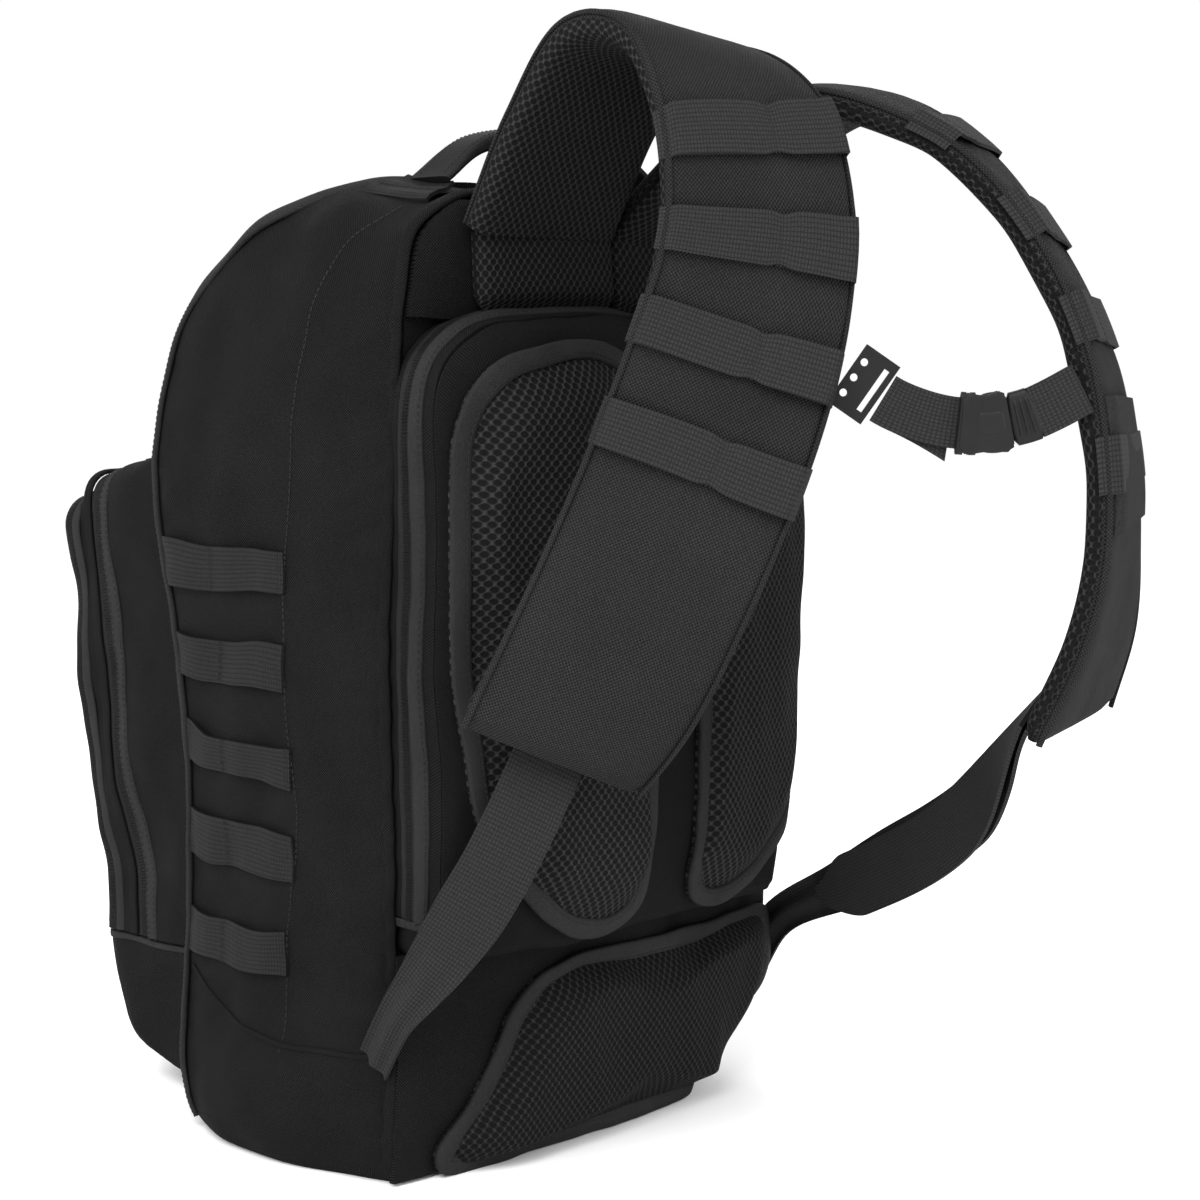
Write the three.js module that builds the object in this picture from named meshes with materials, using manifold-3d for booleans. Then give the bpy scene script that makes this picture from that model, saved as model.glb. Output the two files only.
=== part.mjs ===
// Trauma backpack: a clamshell medical pack with a front pocket, a slim outer pocket, a rear
// compartment that carries the back pads, webbing rows, padded shoulder straps and a chest strap.
// Millimetres, +Z up. The origin is the middle of the base, on the face that it stands on. The
// wearer's side is +Y, the front pocket is on the -Y side, and +X is the wearer's right.
import * as THREE from "three";
import { mergeVertices } from "three/addons/utils/BufferGeometryUtils.js";
import Module from "manifold-3d";

// ---- Driving dimensions ----
const PACK_WIDTH = 300;
const PACK_HEIGHT = 518;
const BACK_SEAM_Y = 85;
const FRONT_SEAM_Y = -85;
const FRONT_SWELL = 16; // how far the front stands out above the belly line
const FABRIC = 3; // laminated fabric and foam of a wall
const BASE_HEIGHT = 30; // the boot that the side and front panels stand on
const SHOULDER_RADIUS = 46;
const BASE_RADIUS = 14;
const GAP = 0.4; // between pieces that are sewn edge to edge
const SEAM_LIP = 6; // how far the front panel wraps over the side panels

const REAR_DEPTH = 33; // depth of the rear compartment at its edge
const REAR_BOTTOM = 122;
const REAR_TOP = PACK_HEIGHT - 66;
const REAR_WIDTH = PACK_WIDTH - 10;
const REAR_RADIUS = 52;
const REAR_BULGE = 27;
const PAD_THICKNESS = 9;
const PAD_INNER_X = 22; // half of the spine channel
const PAD_OUTER_X = REAR_WIDTH / 2 - 8;
const PAD_BOTTOM = REAR_BOTTOM + 5;
const PAD_TOP = REAR_TOP - 14;
const PAD_CORNER = 34;
const PAD_LOWER_SLANT = 100;
const PAD_UPPER_SLANT = 56;
const LUMBAR_TOP = REAR_BOTTOM - 12;
const LUMBAR_BOTTOM = 14;
const LUMBAR_TOP_WIDTH = PACK_WIDTH - 114;
const LUMBAR_BOTTOM_WIDTH = PACK_WIDTH - 38;
const LUMBAR_CORNER = 40;
const LUMBAR_THICKNESS = 15;
const LUMBAR_EDGE = 4; // thickness at the binding
const LOWER_BACK_BULGE = 22;
const YOKE_THICKNESS = 7;

const POCKET_WIDTH = PACK_WIDTH - 44;
const POCKET_TOP = PACK_HEIGHT - 146;
const POCKET_BOTTOM = 14;
const POCKET_HINGE_Z = 92; // top of the pocket's boot, where its zips end
const POCKET_DEPTH_TOP = 229; // how far forward of the origin the pocket's face stands
const POCKET_DEPTH_MIDDLE = 215;
const POCKET_DEPTH_LOW = 192;
const ZIP_SETBACK = 42; // from the pocket's front face to its zip
const ZIP_GAP = 1; // between the fixed pocket and its lid, so that the lid's lower corner swings clear
const OUTER_SETBACK = 14; // from the front face to the outer pocket's zip

const WEBBING_WIDTH = 25.4;
const WEBBING_THICKNESS = 1.8;
const ROW_PITCH = 50.8;
const ROW_COUNT = 5;
const FIRST_ROW_TOP = PACK_HEIGHT - 188;
const ROW_BACK_Y = 14; // the stitch line that ends the side rows
const ROW_LIFT = 2.2; // how far a row bows out between its stitches

const STRAP_WIDTH = 104;
const STRAP_THICKNESS = 13;
const STRAP_ROOT_Z = PACK_HEIGHT - 21; // crease where a strap leaves the yoke
const BAND_LIFT = 1.2;
const RIGHT_BAND_RISES = [41, -9, -62, -114]; // heights above the crease
const LEFT_BAND_RISES = [44, 0, -50, -119];
const LOWER_WEBBING_WIDTH = 38;

const TAB_HEIGHT = 60;
const TAB_REACH = 17;
const TAB_CENTRE_Z = 60;
const TAB_THICKNESS = 2.4;
const LOCK_WIDTH = LOWER_WEBBING_WIDTH + 10; // ladder locks at the straps' lower ends
const LOCK_LENGTH = 12;
const LOCK_THICKNESS = 3.6;
const LOCK_CLEARANCE = 1.2;

const HANDLE_SPAN = PACK_WIDTH - 130;
const HANDLE_RISE = 28;
const HANDLE_WIDTH = 30;
const HANDLE_THICKNESS = 4;
const HANDLE_FOOT = 7; // height of the handle's ends above the top
const HANDLE_Y = 48;

const STERNUM_RIGHT_Z = STRAP_ROOT_Z - 55; // heights on the straps' middle lines of its ends
const STERNUM_LEFT_Z = STRAP_ROOT_Z - 82;
const STERNUM_SAG = 23;
const WEBBING_OVER_DOOR = 24.24; // gap from the door's face to the right lower webbing
const WEBBING_OVER_EDGE = 4; // the same gap at the door's low corner
const WEBBING_INSIDE_EDGE = 12.7; // how far inside the door's edge the webbing passes above
const WEBBING_PAST_EDGE = 3.3; // and how far past it below
const PLATE_START = 5.6; // clearance from the strap's edge
const PLATE_LENGTH = 20;
const PLATE_HEIGHT = 34;
const BUCKLE_WIDTH = 31;
const BUCKLE_PLACE = 0.64;
const PLUG_END = 19; // from the buckle's middle to the plug's end
const PLUG_TRAVEL = 13; // how far the plug pulls out
const PATCH_TOP_Z = STRAP_ROOT_Z - 88;
const PATCH_HEIGHT = 62;

const SLIDER_SIZE = [10, 6, 3.5];
const PULL_WIDTH = 5;
const PULL_THICKNESS = 1.5;

const SHEET_THICKNESS = 1.6; // plastic frame sheet
const SHEET_MARGIN = 22; // in from the pack's edges
const STAY_WIDTH = 22;
const STAY_THICKNESS = 3;

const HALF_WIDTH = PACK_WIDTH / 2;
const DOME_END_Y = PACK_HEIGHT * 0.06; // where the front's dome meets the flat top
const SHOULDER_Z = PACK_HEIGHT - SHOULDER_RADIUS;
const REAR_Y = BACK_SEAM_Y + REAR_DEPTH;
const FAR = 400; // longer than the pack in any direction

const wasm = await Module();
wasm.setup();
const pack = new THREE.Group();
const V = (x, y, z) => new THREE.Vector3(x, y, z);

// ---- Materials ----
const cloth = (color, roughness) => () =>
  new THREE.MeshStandardMaterial({ color, roughness, metalness: 0 });
const packFabric = cloth(0x2b2b2d, 0.85);
const airMesh = cloth(0x1f1f21, 0.95);
const webbing = cloth(0x3a3a3c, 0.75);
const lining = cloth(0x505458, 0.9);
const loopPile = cloth(0x343436, 1.0);
const plastic = cloth(0x18181a, 0.45);
const metal = (color) => () =>
  new THREE.MeshStandardMaterial({ color, roughness: 0.35, metalness: 0.9 });
const alloy = metal(0x9a9da0);
const blackMetal = metal(0x2a2a2c);

// ---- Shape helpers ----
function addPiece(name, geometry, material) {
  const mesh = new THREE.Mesh(geometry, material());
  mesh.name = name;
  pack.add(mesh);
  return mesh;
}

// The same piece on the wearer's left.
function addMirrored(name, geometry, material) {
  const mesh = addPiece(name, geometry, material);
  mesh.scale.x = -1;
  return mesh;
}

function solid(geometry) {
  const bare = geometry.index ? geometry.toNonIndexed() : geometry.clone();
  bare.deleteAttribute("normal");
  bare.deleteAttribute("uv");
  const merged = mergeVertices(bare, 1e-3);
  return new wasm.Manifold(
    new wasm.Mesh({
      numProp: 3,
      vertProperties: new Float32Array(merged.attributes.position.array),
      triVerts: new Uint32Array(merged.index.array),
    }),
  );
}

function geometryOf(manifold) {
  const { vertProperties, triVerts } = manifold.getMesh();
  const geometry = new THREE.BufferGeometry();
  geometry.setAttribute("position", new THREE.BufferAttribute(vertProperties, 3));
  geometry.setIndex(new THREE.BufferAttribute(triVerts, 1));
  geometry.computeVertexNormals();
  return geometry;
}

function box(x0, x1, y0, y1, z0, z1) {
  const geometry = new THREE.BoxGeometry(x1 - x0, y1 - y0, z1 - z0);
  geometry.translate((x0 + x1) / 2, (y0 + y1) / 2, (z0 + z1) / 2);
  return geometry;
}

const block = (...sides) => solid(box(...sides));

// A prism along X from an outline in (y, z).
function prismX(shape, x0, x1, curveSegments = 6) {
  const options = { depth: x1 - x0, bevelEnabled: false, curveSegments };
  const geometry = new THREE.ExtrudeGeometry(shape, options);
  geometry.applyMatrix4(new THREE.Matrix4().makeBasis(V(0, 1, 0), V(0, 0, 1), V(1, 0, 0)));
  geometry.translate(x0, 0, 0);
  return solid(geometry);
}

// A prism along Y from an outline in (x, z).
function prismY(shape, y0, y1, curveSegments = 6) {
  const options = { depth: y1 - y0, bevelEnabled: false, curveSegments };
  const geometry = new THREE.ExtrudeGeometry(shape, options);
  geometry.applyMatrix4(new THREE.Matrix4().makeBasis(V(1, 0, 0), V(0, 0, 1), V(0, -1, 0)));
  geometry.translate(0, y1, 0);
  return solid(geometry);
}

// An outline with straight lower corners and round upper ones, or round ones all round.
function roundedOutline(x0, x1, z0, z1, upper, lower = 0) {
  const shape = new THREE.Shape();
  shape.moveTo(x0 + lower, z0);
  shape.lineTo(x1 - lower, z0);
  if (lower > 0) shape.absarc(x1 - lower, z0 + lower, lower, -Math.PI / 2, 0);
  shape.lineTo(x1, z1 - upper);
  shape.absarc(x1 - upper, z1 - upper, upper, 0, Math.PI / 2);
  shape.lineTo(x0 + upper, z1);
  shape.absarc(x0 + upper, z1 - upper, upper, Math.PI / 2, Math.PI);
  if (lower > 0) shape.absarc(x0 + lower, z0 + lower, lower, Math.PI, 1.5 * Math.PI);
  return shape;
}

// A closed sheet between two surfaces, each a function of u and v from 0 to 1.
function sheetBetween(face, back, nu, nv) {
  const points = [];
  for (const surface of [face, back])
    for (let i = 0; i <= nu; i++)
      for (let j = 0; j <= nv; j++) points.push(surface(i / nu, j / nv));
  const at = (side, i, j) => side * (nu + 1) * (nv + 1) + i * (nv + 1) + j;
  const index = [];
  const quad = (a, b, c, d) => index.push(a, b, c, a, c, d);
  for (let i = 0; i < nu; i++)
    for (let j = 0; j < nv; j++) {
      quad(at(0, i, j), at(0, i + 1, j), at(0, i + 1, j + 1), at(0, i, j + 1));
      quad(at(1, i, j), at(1, i, j + 1), at(1, i + 1, j + 1), at(1, i + 1, j));
    }
  for (let i = 0; i < nu; i++) {
    quad(at(0, i, 0), at(1, i, 0), at(1, i + 1, 0), at(0, i + 1, 0));
    quad(at(0, i, nv), at(0, i + 1, nv), at(1, i + 1, nv), at(1, i, nv));
  }
  for (let j = 0; j < nv; j++) {
    quad(at(0, 0, j), at(0, 0, j + 1), at(1, 0, j + 1), at(1, 0, j));
    quad(at(0, nu, j), at(1, nu, j), at(1, nu, j + 1), at(0, nu, j + 1));
  }
  const geometry = new THREE.BufferGeometry();
  geometry.setAttribute(
    "position",
    new THREE.Float32BufferAttribute(points.flatMap((p) => p.toArray()), 3),
  );
  geometry.setIndex(signedVolume(points, index) < 0 ? index.reverse() : index);
  geometry.computeVertexNormals();
  return geometry;
}

function signedVolume(points, index) {
  let sum = 0;
  for (let i = 0; i < index.length; i += 3) {
    const [a, b, c] = [points[index[i]], points[index[i + 1]], points[index[i + 2]]];
    sum += a.dot(b.clone().cross(c));
  }
  return sum / 6;
}

// ---- The main body ----
// Side profile in (y, z), drawn inset by the given distance.
function sideProfile(inset) {
  const front = FRONT_SEAM_Y + inset;
  const back = BACK_SEAM_Y - inset;
  const top = PACK_HEIGHT - inset;
  const swell = front - FRONT_SWELL;
  const shape = new THREE.Shape();
  shape.moveTo(back, inset);
  shape.lineTo(back, top);
  const height = (part) => part * PACK_HEIGHT;
  shape.lineTo(DOME_END_Y, top);
  shape.bezierCurveTo(-height(0.07), top - 2, swell, height(0.88), swell, height(0.74));
  shape.lineTo(swell, height(0.64));
  shape.bezierCurveTo(swell, height(0.56), front, height(0.52), front, height(0.44));
  shape.lineTo(front, BASE_HEIGHT);
  shape.quadraticCurveTo(front, inset, front + BASE_RADIUS, inset);
  return shape;
}

function bodySolid(inset) {
  const outline = roundedOutline(
    inset - HALF_WIDTH,
    HALF_WIDTH - inset,
    inset,
    PACK_HEIGHT - inset,
    SHOULDER_RADIUS - inset,
    BASE_RADIUS - inset,
  );
  return prismX(sideProfile(inset), -FAR, FAR, 8).intersect(prismY(outline, -FAR, FAR));
}

// Everything ahead of the profile drawn in by the given distance, above the boot.
const frontSlab = (inset) =>
  block(-FAR, FAR, -FAR, DOME_END_Y, BASE_HEIGHT, FAR * 2).subtract(
    prismX(sideProfile(inset), -FAR, FAR, 8),
  );

function addBody() {
  const shell = bodySolid(0).subtract(bodySolid(FABRIC));
  const wall = BACK_SEAM_Y - FABRIC;
  const cut = (...sides) => shell.intersect(block(...sides));
  addPiece("base_boot", geometryOf(cut(-FAR, FAR, -FAR, FAR, -1, BASE_HEIGHT - GAP)), packFabric);
  const topRegion = block(-FAR, FAR, DOME_END_Y, FAR, SHOULDER_Z - GAP, FAR * 2);
  const side = cut(HALF_WIDTH - SHOULDER_RADIUS, FAR, -FAR, wall - GAP, BASE_HEIGHT, FAR * 2)
    .subtract(frontSlab(SEAM_LIP + GAP))
    .subtract(topRegion);
  addPiece("side_panel_right", geometryOf(side), packFabric);
  addMirrored("side_panel_left", geometryOf(side), packFabric);
  const rearWall = cut(-FAR, FAR, wall, FAR, BASE_HEIGHT, FAR * 2);
  addPiece("rear_wall", geometryOf(rearWall), lining);
  const top = cut(-FAR, FAR, DOME_END_Y + GAP, wall - GAP, SHOULDER_Z, FAR * 2);
  addPiece("top_panel", geometryOf(top), packFabric);
  addPiece("front_panel", geometryOf(shell.intersect(frontSlab(SEAM_LIP))), packFabric);
}
addBody();

// ---- Frame inside the rear wall ----
function addFrame() {
  const face = BACK_SEAM_Y - FABRIC - GAP;
  const half = HALF_WIDTH - SHEET_MARGIN;
  const corner = 30;
  const sheet = roundedOutline(
    -half, half, BASE_HEIGHT + 12, PACK_HEIGHT - SHEET_MARGIN, corner, corner,
  );
  const sheetBack = face - SHEET_THICKNESS;
  addPiece("frame_sheet", geometryOf(prismY(sheet, sheetBack, face)), plastic);
  const stayFace = sheetBack - GAP;
  const stay = box(
    -STAY_WIDTH / 2, STAY_WIDTH / 2, stayFace - STAY_THICKNESS, stayFace,
    BASE_HEIGHT + 20, PACK_HEIGHT - SHEET_MARGIN - 10,
  );
  addPiece("frame_stay", stay, alloy);
}
addFrame();

// ---- Rear compartment ----
const bump = (t, power) => Math.max(0, 1 - Math.abs(t) ** power);

// Outer face of the rear door.
function doorFaceY(x, z) {
  const middle = (REAR_BOTTOM + REAR_TOP) / 2;
  const across = bump(x / (REAR_WIDTH / 2 + 1), 2.4);
  const along = bump((z - middle) / ((REAR_TOP - REAR_BOTTOM) / 2 + 18), 4);
  return REAR_Y + GAP + FABRIC + REAR_BULGE * across * along;
}

function layer(surface, inner, outer, x0, x1, z0, z1, nx, nz) {
  const place = (offset) => (u, v) => {
    const x = x0 + (x1 - x0) * u;
    const z = z0 + (z1 - z0) * v;
    return V(x, surface(x, z) + offset, z);
  };
  return solid(sheetBetween(place(inner), place(outer), nx, nz));
}

function padOutline() {
  const shape = new THREE.Shape();
  const cornerX = PAD_INNER_X + PAD_CORNER;
  shape.moveTo(cornerX, PAD_BOTTOM);
  shape.lineTo(cornerX + 8, PAD_BOTTOM);
  shape.bezierCurveTo(
    PAD_OUTER_X - 40, PAD_BOTTOM + 4, PAD_OUTER_X - 2, PAD_BOTTOM + 60,
    PAD_OUTER_X, PAD_BOTTOM + PAD_LOWER_SLANT,
  );
  shape.lineTo(PAD_OUTER_X, PAD_TOP - PAD_UPPER_SLANT);
  shape.quadraticCurveTo(PAD_OUTER_X - 4, PAD_TOP, PAD_OUTER_X - PAD_UPPER_SLANT, PAD_TOP);
  shape.lineTo(cornerX, PAD_TOP);
  shape.quadraticCurveTo(PAD_INNER_X, PAD_TOP, PAD_INNER_X, PAD_TOP - PAD_CORNER);
  shape.lineTo(PAD_INNER_X, PAD_BOTTOM + PAD_CORNER);
  shape.quadraticCurveTo(PAD_INNER_X, PAD_BOTTOM, cornerX, PAD_BOTTOM);
  return shape;
}

function addRearCompartment() {
  const half = REAR_WIDTH / 2;
  const outer = roundedOutline(-half, half, REAR_BOTTOM, REAR_TOP, REAR_RADIUS);
  const inner = roundedOutline(
    FABRIC - half, half - FABRIC, REAR_BOTTOM + FABRIC, REAR_TOP - FABRIC, REAR_RADIUS - FABRIC,
  );
  const near = BACK_SEAM_Y + GAP;
  const gusset = prismY(outer, near, REAR_Y).subtract(prismY(inner, near - 1, REAR_Y + 1));
  addPiece("rear_gusset", geometryOf(gusset), packFabric);
  const doorLayer = layer(doorFaceY, -FABRIC, 0, -half - 1, half + 1, REAR_BOTTOM, REAR_TOP, 14, 10);
  const door = doorLayer.intersect(prismY(outer, 0, FAR));
  addPiece("rear_door", geometryOf(door), packFabric);
  const padLayer = layer(
    doorFaceY, 2 * GAP, PAD_THICKNESS, PAD_INNER_X - 2, half, PAD_BOTTOM - 2, PAD_TOP + 2, 8, 12,
  );
  const pad = geometryOf(padLayer.intersect(prismY(padOutline(), 0, FAR)));
  addPiece("back_pad_right", pad, airMesh);
  addMirrored("back_pad_left", pad, airMesh);
}
addRearCompartment();

// ---- Lower back and yoke ----
const LOWER_TOP = REAR_BOTTOM - GAP;

function lowerBackY(x, z) {
  const rise = 1 - ((LOWER_TOP - z) / LOWER_TOP) ** 2;
  return BACK_SEAM_Y + 4 + LOWER_BACK_BULGE * bump(x / (HALF_WIDTH + 1), 2.2) * (0.35 + 0.65 * rise);
}

function lumbarOutline() {
  const top = LUMBAR_TOP_WIDTH / 2;
  const bottom = LUMBAR_BOTTOM_WIDTH / 2;
  const corner = LUMBAR_CORNER;
  const shape = new THREE.Shape();
  shape.moveTo(-bottom, LUMBAR_BOTTOM);
  shape.lineTo(bottom, LUMBAR_BOTTOM);
  shape.lineTo(bottom - 2, LUMBAR_BOTTOM + 10);
  shape.lineTo(top + 3, LUMBAR_TOP - corner);
  shape.quadraticCurveTo(top, LUMBAR_TOP - 2, top - corner, LUMBAR_TOP);
  shape.lineTo(corner - top, LUMBAR_TOP);
  shape.quadraticCurveTo(-top, LUMBAR_TOP - 2, -top - 3, LUMBAR_TOP - corner);
  shape.lineTo(2 - bottom, LUMBAR_BOTTOM + 10);
  return shape;
}

function addBack() {
  const low = 3;
  const width = HALF_WIDTH - 1;
  const lowerFace = (surface) => (u, v) => {
    const x = width * (2 * u - 1);
    const z = low + (LOWER_TOP - low) * v;
    return V(x, surface(x, z), z);
  };
  const lower = sheetBetween(lowerFace(() => BACK_SEAM_Y + GAP), lowerFace(lowerBackY), 12, 5);
  addPiece("lower_back_panel", lower, packFabric);
  const half = LUMBAR_BOTTOM_WIDTH / 2 + 2;
  const cushionFace = (rise) => (u, v) => {
    const x = half * (2 * u - 1);
    const z = LUMBAR_BOTTOM - 1 + (LUMBAR_TOP + 2 - LUMBAR_BOTTOM) * v;
    return V(x, lowerBackY(x, z) + rise(x, v), z);
  };
  const crown = (x, v) => bump(2 * v - 1, 4) * bump(x / (half + 6), 3);
  const cushion = sheetBetween(
    cushionFace(() => GAP),
    cushionFace((x, v) => LUMBAR_EDGE + (LUMBAR_THICKNESS - LUMBAR_EDGE) * crown(x, v)),
    12, 8,
  );
  const lumbar = solid(cushion).intersect(prismY(lumbarOutline(), 0, FAR));
  addPiece("lumbar_pad", geometryOf(lumbar), airMesh);
  const yokeOutline = roundedOutline(
    4 - HALF_WIDTH, HALF_WIDTH - 4, REAR_TOP + GAP, PACK_HEIGHT - 4, SHOULDER_RADIUS - 4,
  );
  const yoke = prismY(yokeOutline, BACK_SEAM_Y + GAP, BACK_SEAM_Y + GAP + YOKE_THICKNESS);
  addPiece("yoke_panel", geometryOf(yoke), packFabric);
}
addBack();

// ---- Shoulder straps ----
// Each station is a point on the middle line and the direction from the outer edge to the inner.
const YOKE_FACE_Y = BACK_SEAM_Y + GAP + YOKE_THICKNESS + GAP;
const ROOT_Y = YOKE_FACE_Y + STRAP_THICKNESS / 2;
const ROOT_X = STRAP_WIDTH / 2 + 1;

// A station sideways, out and up from the strap's root, with its width direction.
const station = (side) => (x, y, z, dx, dy, dz) => [
  V(side * (ROOT_X + x), ROOT_Y + y, STRAP_ROOT_Z + z),
  V(-side * dx, dy, dz),
];
const right = station(1);
const left = station(-1);
const rightRoute = [
  right(0, 1, 1, 1, 0, 0),
  right(0, 32, 54, 1, 0, 0),
  right(-1, 65, 91, 1, -0.02, -0.06),
  right(-3, 104, 87, 1, 0.1, -0.1),
  right(-1, 136, 55, 0.95, 0.28, -0.1),
  right(1, 150, 8, 0.92, 0.36, -0.15),
  right(6, 150, -33, 0.87, 0.45, -0.18),
  right(17, 144, -77, 0.76, 0.6, -0.22),
  right(29, 134, -121, 0.67, 0.7, -0.22),
  right(43, 118, -172, 0.64, 0.74, -0.18),
  right(55, 98, -220, 0.68, 0.7, -0.2),
  right(64, 70, -265, 0.85, 0.42, -0.32),
];
const leftRoute = [
  left(0, 1, 1, 1, 0, 0),
  left(0, 32, 27, 1, 0, 0),
  left(1, 76, 58, 1, 0.02, -0.04),
  left(8, 121, 67, 0.97, 0.2, -0.04),
  left(28, 171, 42, 0.9, 0.4, -0.03),
  left(43, 210, -4, 0.88, 0.44, 0),
  left(53, 236, -57, 0.88, 0.43, 0),
  left(57, 249, -112, 0.89, 0.4, 0),
  left(60, 250, -161, 0.9, 0.38, 0),
  left(61, 243, -207, 0.93, 0.3, 0),
  left(61, 224, -256, 0.96, 0.2, -0.05),
];

// A ribbon along a route: place(s, across, out) gives a point, with s from 0 to 1 along it,
// across from -1 at the outer edge to 1 at the inner, and out along the ribbon's face.
function ribbon(route, width) {
  const line = new THREE.CatmullRomCurve3(route.map(([p]) => p));
  const sides = new THREE.CatmullRomCurve3(route.map(([, d]) => d.clone().normalize()));
  return (s, across, out) => {
    const along = line.getTangentAt(s);
    const t = line.getUtoTmapping(s);
    const inward = sides.getPoint(t);
    inward.addScaledVector(along, -inward.dot(along)).normalize();
    const normal = along.clone().cross(inward).normalize();
    const point = line.getPointAt(s);
    return point.addScaledVector(inward, (across * width) / 2).addScaledVector(normal, out);
  };
}

const routeLength = (route) => new THREE.CatmullRomCurve3(route.map(([p]) => p)).getLength();

// Where a strap's middle line comes down to a height.
function placeAtHeight(place, height) {
  let s = 1;
  while (s > 0 && place(s, 0, 0).z < height) s -= 0.002;
  return s;
}

// The strap's outer face is on the ribbon's positive side when handed is 1.
function addStrap(name, route, handed, bandRises) {
  const place = ribbon(route, STRAP_WIDTH);
  const half = STRAP_THICKNESS / 2;
  const rim = (across) => half * (1 - 0.45 * Math.abs(across) ** 3);
  const surface = (sign) => (u, v) => place(u, 2 * v - 1, sign * handed * rim(2 * v - 1));
  addPiece(`shoulder_strap_${name}`, sheetBetween(surface(1), surface(-1), 26, 4), airMesh);
  const reach = WEBBING_WIDTH / 2 / routeLength(route);
  bandRises.forEach((rise, i) => {
    const s = placeAtHeight(place, STRAP_ROOT_Z + rise);
    const lift = (across) => half + BAND_LIFT + 1.6 * bump(across, 2);
    const band = (extra) => (u, v) => {
      const across = (2 * u - 1) * 1.01;
      return place(s + (2 * v - 1) * reach, across, handed * (lift(across) + extra));
    };
    addPiece(
      `strap_band_${name}_${i + 1}`,
      sheetBetween(band(0), band(WEBBING_THICKNESS), 8, 2),
      webbing,
    );
  });
  return place;
}

const rightPlace = addStrap("right", rightRoute, 1, RIGHT_BAND_RISES);
const leftPlace = addStrap("left", leftRoute, -1, LEFT_BAND_RISES);

function addYokePads() {
  const outline = roundedOutline(1, STRAP_WIDTH - 3, REAR_TOP + 4, STRAP_ROOT_Z - 6, 3, 6);
  const pad = geometryOf(prismY(outline, YOKE_FACE_Y, YOKE_FACE_Y + STRAP_THICKNESS, 2));
  addPiece("strap_root_right", pad, airMesh);
  addMirrored("strap_root_left", pad, airMesh);
}
addYokePads();

// ---- Straps' lower webbing, its adjusters and its anchor tabs ----
function addLowerWebbing(name, route) {
  const place = ribbon(route, LOWER_WEBBING_WIDTH);
  const half = WEBBING_THICKNESS / 2;
  const face = (sign) => (u, v) => place(u, 2 * v - 1, sign * half);
  addPiece(`lower_webbing_${name}`, sheetBetween(face(1), face(-1), 14, 1), webbing);
}

// A ladder lock under the strap's lower end.
function addAdjuster(name, place, route, handed) {
  const reach = LOCK_LENGTH / 2 / routeLength(route);
  const s = 1 - 2.4 * reach;
  const near = STRAP_THICKNESS / 2 + LOCK_CLEARANCE;
  const under = (depth) => (u, v) =>
    place(s + (2 * v - 1) * reach, ((2 * u - 1) * LOCK_WIDTH) / STRAP_WIDTH, -handed * depth);
  addPiece(`ladder_lock_${name}`, sheetBetween(under(near), under(near + LOCK_THICKNESS), 2, 2), plastic);
}

function addTab(name, mirrored) {
  const shape = new THREE.Shape();
  const low = TAB_CENTRE_Z - TAB_HEIGHT / 2;
  const front = BACK_SEAM_Y - TAB_REACH;
  shape.moveTo(BACK_SEAM_Y, low - 8);
  shape.lineTo(BACK_SEAM_Y, low + TAB_HEIGHT);
  shape.lineTo(front, low + TAB_HEIGHT - 10);
  shape.lineTo(front, low + 6);
  const tab = geometryOf(prismX(shape, HALF_WIDTH + GAP, HALF_WIDTH + GAP + TAB_THICKNESS));
  if (mirrored) addMirrored(`strap_tab_${name}`, tab, webbing);
  else addPiece(`strap_tab_${name}`, tab, webbing);
}

const overTab = HALF_WIDTH + GAP + TAB_THICKNESS + 1.6;
const tabEnd = (sign) => V(sign * overTab, BACK_SEAM_Y - 9, TAB_CENTRE_Z + 4);
const tabTop = (sign) => V(sign * (overTab + 1), BACK_SEAM_Y + 10, TAB_CENTRE_Z + 32);
const underStrap = STRAP_THICKNESS / 2 + LOCK_CLEARANCE + LOCK_THICKNESS + 3;
const rightEnd = rightPlace(1, 0.1, -underStrap);
const leftEnd = leftPlace(1, 0.1, underStrap);
const between = (from, to, part, shift) => from.clone().lerp(to, part).add(shift);

// A point on the right lower webbing's course, placed by the rear door's edge and clear of its face.
function overDoor(part, beyondEdge, gap) {
  const point = between(rightEnd, tabTop(1), part, V(0, 0, 0)).setX(REAR_WIDTH / 2 + beyondEdge);
  return point.setY(doorFaceY(point.x, point.z) + gap);
}

addLowerWebbing("right", [
  [rightEnd, V(-0.82, 0.45, -0.35)],
  [overDoor(0.38, -WEBBING_INSIDE_EDGE, WEBBING_OVER_DOOR), V(-0.78, 0.55, -0.2)],
  [overDoor(0.72, WEBBING_PAST_EDGE, WEBBING_OVER_EDGE), V(-0.6, 0.78, -0.2)],
  [tabTop(1), V(-0.05, 0.9, -0.45)],
  [tabEnd(1), V(0, 0.85, -0.5)],
]);
addLowerWebbing("left", [
  [leftEnd, V(0.9, 0.42, -0.05)],
  [between(leftEnd, tabTop(-1), 0.4, V(9, 25, 0)), V(0.88, 0.3, -0.35)],
  [between(leftEnd, tabTop(-1), 0.76, V(2, 34, 0)), V(0.6, 0.3, -0.7)],
  [tabTop(-1), V(0.05, 0.5, -0.8)],
  [tabEnd(-1), V(0, 0.65, -0.7)],
]);
addAdjuster("right", rightPlace, rightRoute, 1);
addAdjuster("left", leftPlace, leftRoute, -1);
addTab("right", false);
addTab("left", true);

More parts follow.
